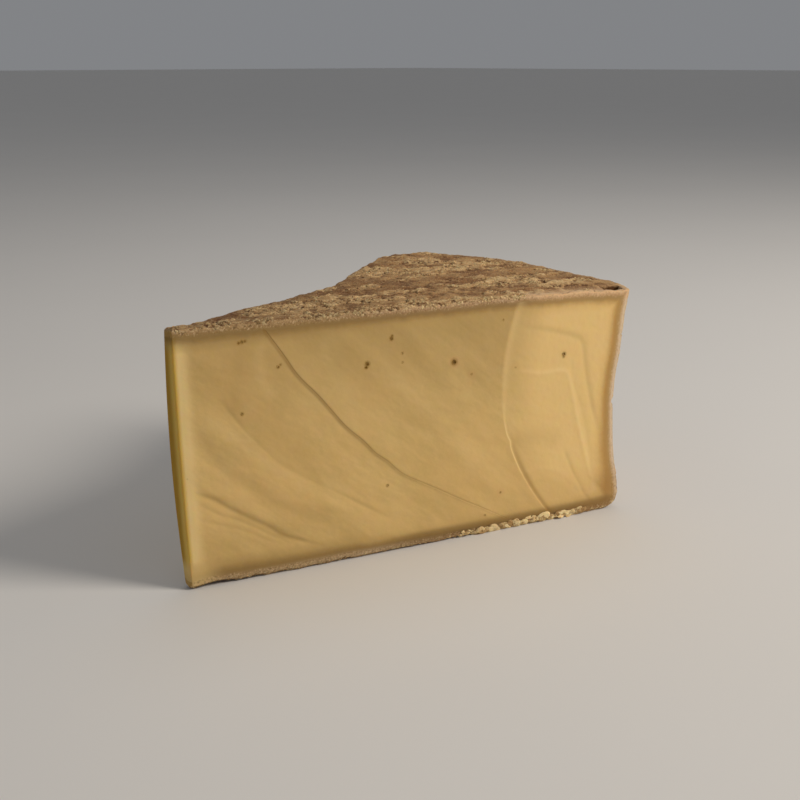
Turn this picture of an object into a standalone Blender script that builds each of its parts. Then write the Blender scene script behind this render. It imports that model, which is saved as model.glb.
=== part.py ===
"""A cut wedge of a large Alpine cheese wheel, with its rind on the top, the bottom and the hollow heel.

One solid, in metres, +Z up. X runs from the nose to the heel along the middle of the wedge, and the origin is
under the middle of the bounding box, on the surface that the wedge rests on.
The shape is a grid over the six sides of the wedge. It is worked out first in the cut's own frame: s runs along
the front cut from nose to heel, n runs into the cheese and z is up.
"""

import math

import bmesh
import bpy
import numpy as np
from mathutils import noise, Vector

MM = 0.001

# The wheel that the wedge is cut from
WHEEL_RADIUS = 0.2904
WHEEL_HEIGHT = 0.1455
CENTRE_S = -0.0080
CENTRE_N = -0.0027

# The cuts. The back cut was made in two strokes, so its line in plan bends: (s, n) in millimetres
WEDGE_ANGLE = math.radians(38.0)
FRONT_CUT_LENGTH = 0.2824
NOSE_WIDTH = 0.0066
NOSE_BULGE = 0.0026
NOSE_LEAN = 0.0030
NOSE_REACH = 0.060
BACK_CUT_MM = ((-2.6, 7.6), (11.0, 12.6), (37.0, 26.6), (80.0, 53.0), (121.0, 78.0), (145.0, 109.0), (179.0, 147.0),
               (208.0, 164.0), (223.0, 172.0))

# The heel: how far it lies inside the wheel's rim at a height, as (inset, z) in millimetres
HEEL_PROFILE_MM = ((0.0, 0.0), (0.2, 13.0), (2.2, 24.0), (4.9, 38.0), (6.8, 60.0), (7.6, 76.0), (6.7, 92.0),
                   (4.2, 108.0), (2.8, 127.0), (0.9, 138.0), (-0.4, 145.0))
RIM_UNEVENNESS = 0.0016

# The flat rinds
TOP_DROOP = 0.0016
TOP_DROOP_REACH = 0.050
TOP_WAVE = 0.0009
CRUST_RELIEF = 0.0007
CRUST_GRAIN = 0.0085
NOSE_LIFT = 0.0018
NOSE_LIFT_REACH = 0.060
FOOT_CHIP = 0.0009
FOOT_CHIP_REACH = 0.0050
DENT_S, DENT_N = 0.2685, 0.0095
DENT_LENGTH, DENT_WIDTH, DENT_DEPTH = 0.0068, 0.0042, 0.0028

# Where two sides meet in a round edge, and its radius
ROUND_EDGES = (
    ("heel", "foot", 0.0100),
    ("heel", "back", 0.0120),
    ("heel", "top", 0.0012),
    ("heel", "front", 0.0006),
    ("front", "top", 0.0014),
    ("front", "foot", 0.0014),
    ("back", "top", 0.0018),
    ("back", "foot", 0.0018),
    ("nose", "front", 0.0008),
    ("nose", "back", 0.0016),
    ("nose", "top", 0.0014),
    ("nose", "foot", 0.0014),
)

# The marks that the knife left in the front cut, as points (s, z) in millimetres
CRACK_MM = ((49.0, 141.0), (67.0, 113.5), (93.0, 82.2), (119.0, 57.2), (155.0, 32.6), (205.0, 4.5))
CRACK_WIDTH = 0.0012
CRACK_DEPTH = 0.0014
VALLEYS_MM = (
    {"points": ((6.0, 126.0), (32.0, 97.0), (57.0, 69.0), (96.0, 40.0), (145.0, 3.0)), "depth": 0.9, "width": 5.5},
    {"points": ((6.0, 94.0), (31.0, 71.0), (56.0, 46.0), (98.0, 19.0)), "depth": 0.5, "width": 5.0},
    {"points": ((6.0, 58.0), (31.0, 40.5), (57.0, 22.5), (90.0, 3.0)), "depth": 0.8, "width": 3.2},
    {"points": ((238.0, 114.0), (251.0, 68.0), (263.0, 12.0)), "depth": 0.35, "width": 3.0},
)
VALLEY_TAPER = 0.2
BLADE_LINE_S = 0.1930
BLADE_LINE_Z = 0.0920
BLADE_LINE_BEND = 4.8
BLADE_STEP = 0.0007
BLADE_STEP_WIDTH = 0.0016
BLADE_SLOPE = 0.012
CUT_SWELL = 0.0011

# Small round holes in the cheese, as (s, z, radius) in millimetres
FRONT_EYES_MM = ((161.5, 110.7, 1.5), (107.3, 115.3, 1.3), (122.1, 128.5, 1.1), (236.2, 106.6, 1.2), (36.4, 135.3, 0.9),
                 (56.0, 119.9, 0.9), (35.1, 96.3, 0.9), (128.7, 118.6, 0.8), (172.7, 102.3, 0.7), (119.2, 42.1, 0.9),
                 (194.3, 25.0, 0.8), (193.1, 132.0, 0.8))
BACK_EYES_MM = ((62.0, 96.0, 1.3), (101.0, 121.0, 1.1), (118.0, 60.0, 0.9), (158.0, 104.0, 1.4), (196.0, 47.0, 1.0),
                (214.0, 112.0, 1.2), (232.0, 82.0, 0.9))
EYE_SINK = 0.35

# The grid, and how many triangles are kept of it
LENGTH_CELLS, WIDTH_CELLS, HEIGHT_CELLS = 170, 84, 96
EDGE_PACKING = 0.55
KEPT_TRIANGLES = 9600
CURVE_STEPS = 10

PASTE_COLOUR = (0.60, 0.42, 0.17)
PASTE_ROUGHNESS = 0.45


def clear_scene():
    for thing in list(bpy.data.objects):
        bpy.data.objects.remove(thing)


def spline(points, steps):
    """A smooth curve through the points, as an array of points (Catmull-Rom)."""
    knots = np.array([points[0], *points, points[-1]], float)
    knots[0] = 2 * knots[1] - knots[2]
    knots[-1] = 2 * knots[-2] - knots[-3]
    t = np.linspace(0, 1, steps, endpoint=False)[:, None]
    made = []
    for p0, p1, p2, p3 in zip(knots, knots[1:], knots[2:], knots[3:]):
        made.append(0.5 * (2 * p1 + (p2 - p0) * t + (2 * p0 - 5 * p1 + 4 * p2 - p3) * t**2
                           + (3 * p1 - p0 - 3 * p2 + p3) * t**3))
    return np.vstack([*made, knots[-2]])


BACK_LINE = spline(BACK_CUT_MM, CURVE_STEPS) * MM
HEEL_LINE = spline(HEEL_PROFILE_MM, CURVE_STEPS) * MM


def at_share(line, share):
    """Points on a polyline at shares, 0 to 1, of its length."""
    lengths = np.concatenate([[0], np.cumsum(np.linalg.norm(np.diff(line, axis=0), axis=1))])
    wanted = np.asarray(share) * lengths[-1]
    return np.stack([np.interp(wanted, lengths, line[:, axis]) for axis in (0, 1)], -1)


def nearest_on(line, s, z):
    """The distance from each place (s, z) to a polyline, and how far along it the nearest point is, 0 to 1."""
    least = np.full(np.shape(s), np.inf)
    along = np.zeros(np.shape(s))
    for number, ((s0, z0), (s1, z1)) in enumerate(zip(line, line[1:])):
        ds, dz = s1 - s0, z1 - z0
        share = np.clip(((s - s0) * ds + (z - z0) * dz) / (ds * ds + dz * dz), 0, 1)
        distance = np.hypot(s - s0 - share * ds, z - z0 - share * dz)
        along = np.where(distance < least, (number + share) / (len(line) - 1), along)
        least = np.minimum(least, distance)
    return least, along


def smooth_step(low, high, value):
    t = np.clip((value - low) / (high - low), 0, 1)
    return t * t * (3 - 2 * t)


def bump(distance, reach):
    return np.exp(-((distance / reach) ** 2))


def grain(s, n, size):
    """Fractal noise over the plan, about -1 to 1, with lumps of the given size."""
    places = zip(np.ravel(s) / size, np.ravel(n) / size)
    values = [noise.fractal(Vector((*place, 0.0)), 1.0, 2.0, 3) for place in places]
    return np.reshape(values, np.shape(s))


def rim_radius(angle):
    """The wheel isn't quite round: its radius at an angle from the front cut's direction."""
    return WHEEL_RADIUS + RIM_UNEVENNESS * np.sin(5.5 * angle + 0.6) * np.sin(4.7 * angle)


def angle_of(place):
    return np.arctan2(place[..., 1] - CENTRE_N, place[..., 0] - CENTRE_S)


def direction(angle):
    return np.stack([np.cos(angle), np.sin(angle)], -1)


def rim_point(angle):
    return (CENTRE_S, CENTRE_N) + rim_radius(angle)[..., None] * direction(angle)


def rim_distance(place):
    """How far a place in plan lies inside the rim."""
    return rim_radius(angle_of(place)) - np.hypot(place[..., 0] - CENTRE_S, place[..., 1] - CENTRE_N)


def nose_shape(along, across, z):
    """The nose leans back towards its foot and is widest half way up. Its shape fades out along the wedge."""
    fade = np.exp(-along * FRONT_CUT_LENGTH / NOSE_REACH)
    level = z / WHEEL_HEIGHT
    lean = NOSE_LEAN * (1 - level) ** 2
    widen = (NOSE_WIDTH + NOSE_BULGE * np.sin(math.pi * level) - BACK_CUT_MM[0][1] * MM) * across
    half = WEDGE_ANGLE / 2
    return np.stack([(lean - widen * math.sin(half)) * fade, widen * math.cos(half) * fade], -1)


def plan_point(along, across, z):
    """The place (s, n) in plan of a grid point. along and across go from 0 to 1."""
    front_heel = np.array([FRONT_CUT_LENGTH, 0.0])
    back_heel = BACK_LINE[-1]
    front = along[..., None] * front_heel
    back = at_share(BACK_LINE, along)
    angle = angle_of(front_heel) + across * (angle_of(back_heel) - angle_of(front_heel))
    bow = rim_point(angle) - front_heel - across[..., None] * (back_heel - front_heel)
    place = front + across[..., None] * (back - front) + along[..., None] ** 2 * bow
    inset = along**3 * np.interp(z, HEEL_LINE[:, 1], HEEL_LINE[:, 0])
    return place - inset[..., None] * direction(angle_of(place)) + nose_shape(along, across, z)


def top_height(place):
    """The height of the upper rind."""
    s, n = place[..., 0], place[..., 1]
    droop = TOP_DROOP * (1 - smooth_step(0, TOP_DROOP_REACH, rim_distance(place)))
    wave = TOP_WAVE * np.sin(38 * s + 1.1) * np.cos(52 * n + 0.4)
    crust = CRUST_RELIEF * grain(s, n, CRUST_GRAIN)
    dent = DENT_DEPTH * bump(np.hypot((s - DENT_S) / DENT_LENGTH, (n - DENT_N) / DENT_WIDTH), 1.0) ** 2
    return WHEEL_HEIGHT - droop - wave + crust - dent


def foot_height(place, cut_distance):
    """The height of the lower rind: flat, lifted under the nose and chipped along the cuts."""
    s, n = place[..., 0], place[..., 1]
    lift = NOSE_LIFT * (1 - smooth_step(0, NOSE_LIFT_REACH, s))
    ragged = 0.5 + 0.5 * np.sin(260 * s) * np.sin(97 * s + 2.0)
    chip = FOOT_CHIP * ragged * (1 - smooth_step(0, FOOT_CHIP_REACH, cut_distance))
    drip = NOSE_LIFT * bump(np.hypot(s - 0.003, n), 0.007)
    return lift + chip - drip


def front_relief(s, z):
    """How far the front cut stands out of its plane: a soft swell, the valleys and the step that the blade left."""
    height = CUT_SWELL * np.sin(9 * s + 0.5) * np.sin(17 * z + 0.3)
    for valley in VALLEYS_MM:
        distance, along = nearest_on(spline(valley["points"], CURVE_STEPS) * MM, s, z)
        taper = smooth_step(0, VALLEY_TAPER, along) * smooth_step(0, VALLEY_TAPER, 1 - along)
        height = height - valley["depth"] * MM * taper * bump(distance, valley["width"] * MM)
    past_blade = s - BLADE_LINE_S - BLADE_LINE_BEND * (z - BLADE_LINE_Z) ** 2
    step = BLADE_STEP * smooth_step(0, BLADE_STEP_WIDTH, past_blade)
    return height - step - BLADE_SLOPE * np.maximum(past_blade, 0)


def back_relief(s, z):
    """The same for the back cut, whose marks the knife left where the wedge was split from the wheel."""
    height = CUT_SWELL * np.sin(14 * s + 2.0) * np.sin(19 * z + 1.0)
    for share in (0.25, 0.55, 0.8):
        arc = s - 0.26 * share - 0.035 * np.sin(12 * z + 4 * share)
        height = height - 0.6 * MM * bump(arc, 0.0035)
    return height


def round_edge(first, second, radius):
    """How far points move away from two sides, given their distances to them, to make the edge between round."""
    a, b = np.clip(radius - first, 0, None), np.clip(radius - second, 0, None)
    shrink = 1 - np.maximum(a, b) / np.maximum(np.hypot(a, b), 1e-9)
    return a * shrink, b * shrink


def grid_points(along, across, up):
    """The places (s, n, z) of the wedge's grid points. All three go from 0 to 1."""
    level = up * WHEEL_HEIGHT
    place = plan_point(along, across, level)
    width = np.linalg.norm(plan_point(along, 0 * across + 1, level) - plan_point(along, 0 * across, level), axis=-1)
    away = {"front": across * width, "back": (1 - across) * width,
            "nose": along * FRONT_CUT_LENGTH, "heel": (1 - along) * FRONT_CUT_LENGTH}
    low, high = foot_height(place, np.minimum(away["front"], away["back"])), top_height(place)
    away["foot"], away["top"] = up * (high - low), (1 - up) * (high - low)
    z = low + away["foot"]
    flat = np.zeros(z.shape + (1,))
    outward = np.concatenate([direction(angle_of(place)), flat], -1)
    inward = np.concatenate([direction(across * WEDGE_ANGLE + math.pi / 2), flat], -1)
    upward = np.concatenate([flat, flat, flat + 1], -1)
    moves = {"front": inward, "back": -inward, "nose": outward, "heel": -outward, "foot": upward, "top": -upward}
    point = np.concatenate([place, z[..., None]], -1)
    relief = back_relief(place[..., 0], z) * across - front_relief(place[..., 0], z) * (1 - across)
    point = point + (relief * smooth_step(0, 0.02, along))[..., None] * inward
    for first, second, radius in ROUND_EDGES:
        for side, move in zip((first, second), round_edge(away[first], away[second], radius)):
            point = point + move[..., None] * moves[side]
    return point


def to_part_frame(points):
    """From the cut's frame (s, n, z) to the part's, where X halves the wedge's angle."""
    half = WEDGE_ANGLE / 2
    s, n = points[..., 0], points[..., 1]
    turned = np.stack([s * math.cos(half) + n * math.sin(half), n * math.cos(half) - s * math.sin(half)], -1)
    return np.concatenate([turned, points[..., 2:]], -1)


def shares(count):
    """Grid lines from 0 to 1, packed closer towards both ends."""
    even = np.linspace(0, 1, count + 1)
    return (1 - EDGE_PACKING) * even + EDGE_PACKING * (0.5 - 0.5 * np.cos(math.pi * even))


def side_grids():
    """For each of the six sides, its grid points' indices, and whether their order makes the faces point out."""
    i, j, k = np.arange(LENGTH_CELLS + 1), np.arange(WIDTH_CELLS + 1), np.arange(HEIGHT_CELLS + 1)
    yield (i, j[:1], k), True
    yield (i, j[-1:], k), False
    yield (i[:1], j, k), False
    yield (i[-1:], j, k), True
    yield (i, j, k[:1]), False
    yield (i, j, k[-1:]), True


def wedge_mesh():
    """The wedge's whole surface as one closed mesh of quads."""
    bm = bmesh.new()
    made = {}
    lines = (shares(LENGTH_CELLS), shares(WIDTH_CELLS), shares(HEIGHT_CELLS))
    for indices, outward in side_grids():
        grids = [np.squeeze(index) for index in np.meshgrid(*indices, indexing="ij")]
        points = to_part_frame(grid_points(*(line[grid] for line, grid in zip(lines, grids))))
        keys = np.stack(grids, -1)
        rows, columns = keys.shape[:2]
        for row in range(rows):
            for column in range(columns):
                key = tuple(keys[row, column])
                if key not in made:
                    made[key] = bm.verts.new(points[row, column])
        for row in range(rows - 1):
            for column in range(columns - 1):
                ring = [(row, column), (row + 1, column), (row + 1, column + 1), (row, column + 1)]
                corners = [made[tuple(keys[place])] for place in ring]
                bm.faces.new(corners if outward else corners[::-1])
    mesh = bpy.data.meshes.new("cheese_wedge")
    bm.to_mesh(mesh)
    bm.free()
    return mesh


def cutter_object(name, bm):
    """An object that only cuts. It is turned from the cut's frame into the part's."""
    for vertex in bm.verts:
        vertex.co = Vector(to_part_frame(np.array(vertex.co)))
    bmesh.ops.triangulate(bm, faces=bm.faces)
    mesh = bpy.data.meshes.new(name)
    bm.to_mesh(mesh)
    bm.free()
    cutter = bpy.data.objects.new(name, mesh)
    cutter.hide_render = True
    cutter.display_type = "WIRE"
    bpy.context.scene.collection.objects.link(cutter)
    return cutter


def crack_cutter():
    """A long V-shaped blade along the crack, thinner towards its ends."""
    line = spline(CRACK_MM, CURVE_STEPS) * MM
    heading = np.gradient(line, axis=0)
    heading /= np.linalg.norm(heading, axis=1)[:, None]
    aside = np.stack([-heading[:, 1], heading[:, 0]], -1)
    share = np.linspace(0, 1, len(line))
    size = np.clip(0.35 + 1.6 * np.sin(math.pi * share) ** 0.7, 0, 1)
    surface = -front_relief(line[:, 0], line[:, 1])
    proud = 2.0
    bm = bmesh.new()
    rings = []
    for place, side, level, scale in zip(line, aside, surface, size):
        half = 0.5 * CRACK_WIDTH * scale * (1 + proud)
        outer, depth = level - proud * CRACK_DEPTH * scale, level + CRACK_DEPTH * scale
        corners = ((*(place + side * half), outer), (*place, depth), (*(place - side * half), outer))
        rings.append([bm.verts.new((s, n, z)) for s, z, n in corners])
    for ring, following in zip(rings, rings[1:]):
        for corner in range(3):
            other = (corner + 1) % 3
            bm.faces.new((ring[corner], ring[other], following[other], following[corner]))
    bm.faces.new(rings[0])
    bm.faces.new(rings[-1])
    bmesh.ops.recalc_face_normals(bm, faces=bm.faces)
    return cutter_object("crack_cutter", bm)


def eye_cutter(name, eyes, surface_point):
    """Small balls, each sunk a little below the cut, that leave the cheese's eyes."""
    bm = bmesh.new()
    for s, z, radius in np.array(eyes) * MM:
        made = bmesh.ops.create_icosphere(bm, subdivisions=1, radius=radius)
        bmesh.ops.translate(bm, verts=made["verts"], vec=surface_point(s, z, EYE_SINK * radius))
    return cutter_object(name, bm)


def front_point(s, z, depth):
    """A place at a depth under the front cut."""
    return Vector((s, depth - float(front_relief(s, z)), z))


def back_point(s, z, depth):
    """A place at a depth under the back cut, as far along it as s is along the front cut."""
    along = s / FRONT_CUT_LENGTH + np.array([0, 0.01])
    first, second = grid_points(along, np.ones(2), np.full(2, z / WHEEL_HEIGHT))
    run = (second - first) / np.linalg.norm(second - first)
    return Vector((first[0] + run[1] * depth, first[1] - run[0] * depth, z))


def paste_material():
    material = bpy.data.materials.new("cheese_paste")
    material.use_nodes = True
    shader = material.node_tree.nodes["Principled BSDF"]
    shader.inputs["Base Color"].default_value = (*PASTE_COLOUR, 1.0)
    shader.inputs["Roughness"].default_value = PASTE_ROUGHNESS
    return material


def cut_with(wedge, cutter):
    modifier = wedge.modifiers.new(f"cut_{cutter.name}", "BOOLEAN")
    modifier.operation = "DIFFERENCE"
    modifier.object = cutter
    modifier.solver = "EXACT"


def centre_on_base(objects, wedge):
    """Moves everything so that the wedge's box stands on the origin."""
    points = np.array([vertex.co for vertex in wedge.data.vertices])
    low, high = points.min(0), points.max(0)
    for thing in objects:
        thing.location = (-(low[0] + high[0]) / 2, -(low[1] + high[1]) / 2, -low[2])


def main():
    clear_scene()
    wedge = bpy.data.objects.new("cheese_wedge", wedge_mesh())
    bpy.context.scene.collection.objects.link(wedge)
    wedge.data.materials.append(paste_material())
    thin_out = wedge.modifiers.new("thin_out", "DECIMATE")
    thin_out.ratio = KEPT_TRIANGLES / (2 * len(wedge.data.polygons))
    cutters = [
        crack_cutter(),
        eye_cutter("front_eye_cutter", FRONT_EYES_MM, front_point),
        eye_cutter("back_eye_cutter", BACK_EYES_MM, back_point),
    ]
    for cutter in cutters:
        cut_with(wedge, cutter)
    centre_on_base([wedge, *cutters], wedge)
    wedge.data.shade_smooth()
    wedge.data.set_sharp_from_angle(angle=math.radians(35))


main()
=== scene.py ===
import math

import bmesh
import bpy
import numpy as np
from mathutils import Matrix, Vector, noise


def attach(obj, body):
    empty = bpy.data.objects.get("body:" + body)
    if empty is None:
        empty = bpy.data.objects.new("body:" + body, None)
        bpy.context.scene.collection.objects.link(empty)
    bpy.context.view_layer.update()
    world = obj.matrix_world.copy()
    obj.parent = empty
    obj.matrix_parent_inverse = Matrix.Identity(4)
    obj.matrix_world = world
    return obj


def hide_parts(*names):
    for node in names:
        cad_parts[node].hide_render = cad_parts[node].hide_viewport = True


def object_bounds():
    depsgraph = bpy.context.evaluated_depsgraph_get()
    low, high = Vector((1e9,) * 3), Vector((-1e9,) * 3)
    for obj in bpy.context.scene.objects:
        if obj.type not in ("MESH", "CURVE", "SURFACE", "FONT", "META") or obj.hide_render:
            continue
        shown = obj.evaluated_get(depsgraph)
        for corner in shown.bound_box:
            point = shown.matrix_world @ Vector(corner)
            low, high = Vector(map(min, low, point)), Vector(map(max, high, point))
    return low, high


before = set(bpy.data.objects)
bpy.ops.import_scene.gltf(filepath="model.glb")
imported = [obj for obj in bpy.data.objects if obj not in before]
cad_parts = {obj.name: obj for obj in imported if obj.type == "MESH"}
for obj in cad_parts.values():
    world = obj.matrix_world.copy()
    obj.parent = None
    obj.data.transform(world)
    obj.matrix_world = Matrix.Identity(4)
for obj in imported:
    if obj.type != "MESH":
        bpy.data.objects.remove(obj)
cadLow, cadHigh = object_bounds()
mm = 0.001

# A wedge of hard cheese. Its shape is worked out in the cut's own frame first:
# s runs along the front cut from nose to heel, n runs into the cheese, z is up.

wheel = {
    "radius": 290.4 * mm,
    "height": 145.5 * mm,
    "centreS": -8.0 * mm,
    "centreN": -2.7 * mm,
    "outOfRound": 1.6 * mm,
}

wedge = {
    "angle": math.radians(38.0),
    "length": 282.4 * mm,
    "noseCorner": (-141.68 * mm, 0.67 * mm),     # where s = n = 0 stands in the part's frame
    "noseWidth": 6.6 * mm,
    "noseBulge": 2.6 * mm,
    "noseLean": 3.0 * mm,
    "noseReach": 60.0 * mm,
    # the back cut bends where the second stroke began: s, n in millimetres
    "backCut": ((-2.6, 7.6), (11.0, 12.6), (37.0, 26.6), (80.0, 53.0), (121.0, 78.0), (145.0, 109.0),
                (179.0, 147.0), (208.0, 164.0), (223.0, 172.0)),
    # how far the hollow heel lies inside the rim: inset, z in millimetres
    "heelProfile": ((0.0, 0.0), (0.2, 13.0), (2.2, 24.0), (4.9, 38.0), (6.8, 60.0), (7.6, 76.0), (6.7, 92.0),
                    (4.2, 108.0), (2.8, 127.0), (0.9, 138.0), (-0.4, 145.0)),
    "curveSteps": 10,
    "reliefEase": 0.02,      # the cuts' relief sets in over this share of the length
}
halfAngle = wedge["angle"] / 2
cutWay = (math.cos(halfAngle), -math.sin(halfAngle), 0.0)     # the way that s runs in the part's frame

flatRinds = {
    "topDroop": 1.6 * mm,
    "topDroopReach": 50.0 * mm,
    "topWave": 0.9 * mm,
    "topWaveEase": 25.0 * mm,
    "topRelief": 0.7 * mm,
    "topGrain": 8.5 * mm,
    "noseLift": 1.8 * mm,
    "noseLiftReach": 60.0 * mm,
    "dripAt": 3.0 * mm,
    "dripReach": 7.0 * mm,
    "footChip": 0.9 * mm,
    "footChipReach": 5.0 * mm,
    "edgeDip": 1.1 * mm,
    "edgeDipAlong": (205.0 * mm, 228.0 * mm),
    "edgeDipAcross": (3.0 * mm, 14.0 * mm),
    "dentS": 271.8 * mm,
    "dentN": 5.1 * mm,
    "dentLength": 6.4 * mm,
    "dentWidth": 4.0 * mm,
    "dentDepth": 3.9 * mm,
    "dentWall": (0.72, 1.05),
    "dentLip": 0.6 * mm,      # how much lower the crust lies in front of it
    "dentLipAlong": 8.0 * mm,
    "dentLipAcross": (1.5 * mm, 5.0 * mm),
}

roundEdges = (
    ("heel", "foot", 10.0 * mm),
    ("heel", "back", 12.0 * mm),
    ("heel", "top", 1.2 * mm),
    ("heel", "front", 0.6 * mm),
    ("front", "top", 1.4 * mm),
    ("front", "foot", 2.2 * mm),
    ("back", "top", 1.8 * mm),
    ("back", "foot", 1.8 * mm),
    ("nose", "front", 0.8 * mm),
    ("nose", "back", 1.6 * mm),
    ("nose", "top", 1.4 * mm),
    ("nose", "foot", 1.4 * mm),
)


def smoothStep(low, high, value):
    t = np.clip((value - low) / (high - low), 0, 1)
    return t * t * (3 - 2 * t)


def bump(distance, reach):
    return np.exp(-((distance / reach) ** 2))


def smoothCurve(points):
    # a smooth curve through points in millimetres, in metres
    knots = np.array([points[0], *points, points[-1]], float)
    knots[0] = 2 * knots[1] - knots[2]
    knots[-1] = 2 * knots[-2] - knots[-3]
    t = np.linspace(0, 1, wedge["curveSteps"], endpoint=False)[:, None]
    made = []
    for p0, p1, p2, p3 in zip(knots, knots[1:], knots[2:], knots[3:]):
        made.append(0.5 * (2 * p1 + (p2 - p0) * t + (2 * p0 - 5 * p1 + 4 * p2 - p3) * t**2
                           + (3 * p1 - p0 - 3 * p2 + p3) * t**3))
    return np.vstack([*made, knots[-2]]) * mm


backLine = smoothCurve(wedge["backCut"])
heelLine = smoothCurve(wedge["heelProfile"])


def atShare(line, share):
    lengths = np.concatenate([[0], np.cumsum(np.linalg.norm(np.diff(line, axis=0), axis=1))])
    wanted = np.asarray(share) * lengths[-1]
    return np.stack([np.interp(wanted, lengths, line[:, axis]) for axis in (0, 1)], -1)


def nearestOn(line, s, z):
    # signed distance to a polyline (positive to the left of the way it runs), and how far along it that is
    least = np.full(np.shape(s), np.inf)
    signed = np.zeros(np.shape(s))
    along = np.zeros(np.shape(s))
    for number, ((s0, z0), (s1, z1)) in enumerate(zip(line, line[1:])):
        ds, dz = s1 - s0, z1 - z0
        share = np.clip(((s - s0) * ds + (z - z0) * dz) / (ds * ds + dz * dz), 0, 1)
        offS, offZ = s - s0 - share * ds, z - z0 - share * dz
        distance = np.hypot(offS, offZ)
        nearer = distance < least
        signed = np.where(nearer, distance * np.sign(ds * offZ - dz * offS + 1e-12), signed)
        along = np.where(nearer, (number + share) / (len(line) - 1), along)
        least = np.minimum(least, distance)
    return signed, along


def fractal(points, size, octaves=3):
    scaled = np.asarray(points) / size
    return np.array([noise.fractal(Vector(place), 1.0, 2.0, octaves) for place in scaled.reshape(-1, 3)])


def rimRadius(angle):
    return wheel["radius"] + wheel["outOfRound"] * np.sin(5.5 * angle + 0.6) * np.sin(4.7 * angle)


def angleOf(place):
    return np.arctan2(place[..., 1] - wheel["centreN"], place[..., 0] - wheel["centreS"])


def direction(angle):
    return np.stack([np.cos(angle), np.sin(angle)], -1)


def rimPoint(angle):
    return (wheel["centreS"], wheel["centreN"]) + rimRadius(angle)[..., None] * direction(angle)


def rimDistance(place):
    fromCentre = np.hypot(place[..., 0] - wheel["centreS"], place[..., 1] - wheel["centreN"])
    return rimRadius(angleOf(place)) - fromCentre


def heelInset(z):
    return np.interp(z, heelLine[:, 1], heelLine[:, 0])


def noseLean(z):
    return wedge["noseLean"] * (1 - z / wheel["height"]) ** 2


def noseShape(along, across, z):
    fade = np.exp(-along * wedge["length"] / wedge["noseReach"])
    bulge = wedge["noseBulge"] * np.sin(math.pi * z / wheel["height"])
    widen = (wedge["noseWidth"] + bulge - wedge["backCut"][0][1] * mm) * across
    back = (noseLean(z) - widen * math.sin(halfAngle)) * fade
    return np.stack([back, widen * math.cos(halfAngle) * fade], -1)


def planPoint(along, across, z):
    frontHeel = np.array([wedge["length"], 0.0])
    backHeel = backLine[-1]
    front = along[..., None] * frontHeel
    back = atShare(backLine, along)
    angle = angleOf(frontHeel) + across * (angleOf(backHeel) - angleOf(frontHeel))
    bow = rimPoint(angle) - frontHeel - across[..., None] * (backHeel - frontHeel)
    place = front + across[..., None] * (back - front) + along[..., None] ** 2 * bow
    inset = along**3 * heelInset(z)
    return place - inset[..., None] * direction(angleOf(place)) + noseShape(along, across, z)


def dentReach(s, n):
    # below 1 inside the slot that is pressed into the top near the heel
    farS = (s - flatRinds["dentS"]) / flatRinds["dentLength"]
    farN = (n - flatRinds["dentN"]) / flatRinds["dentWidth"]
    uneven = 0.07 * np.sin(900 * s) + 0.05 * np.sin(1400 * n + 1)
    return (farS**4 + farN**4) ** 0.25 + uneven


def topSkin(place):
    s, n = place[..., 0], place[..., 1]
    droop = flatRinds["topDroop"] * (1 - smoothStep(0, flatRinds["topDroopReach"], rimDistance(place)))
    wave = flatRinds["topWave"] * np.sin(38 * s + 1.1) * np.cos(52 * n + 0.4)
    wave = wave * smoothStep(0, flatRinds["topWaveEase"], n)
    # past the place where the knife was set down again, the front edge lies lower
    dip = flatRinds["edgeDip"] * smoothStep(*flatRinds["edgeDipAlong"], s)
    dip = dip * (1 - smoothStep(*flatRinds["edgeDipAcross"], n))
    crumbly = fractal(np.stack([s, n, 0 * s], -1), flatRinds["topGrain"]).reshape(s.shape)
    return wheel["height"] - droop - wave - dip + flatRinds["topRelief"] * crumbly


def topHeight(place):
    s, n = place[..., 0], place[..., 1]
    inDent = 1 - smoothStep(*flatRinds["dentWall"], dentReach(s, n))
    lip = bump(s - flatRinds["dentS"], flatRinds["dentLipAlong"])
    lip = lip * (1 - smoothStep(*flatRinds["dentLipAcross"], n)) * (1 - inDent)
    return topSkin(place) - flatRinds["dentDepth"] * inDent - flatRinds["dentLip"] * lip


def footHeight(place, cutDistance):
    s, n = place[..., 0], place[..., 1]
    lift = flatRinds["noseLift"] * (1 - smoothStep(0, flatRinds["noseLiftReach"], s))
    ragged = 0.5 + 0.5 * np.sin(260 * s) * np.sin(97 * s + 2.0)
    chip = flatRinds["footChip"] * ragged * (1 - smoothStep(0, flatRinds["footChipReach"], cutDistance))
    drip = flatRinds["noseLift"] * bump(np.hypot(s - flatRinds["dripAt"], n), flatRinds["dripReach"])
    return lift + chip - drip


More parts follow.
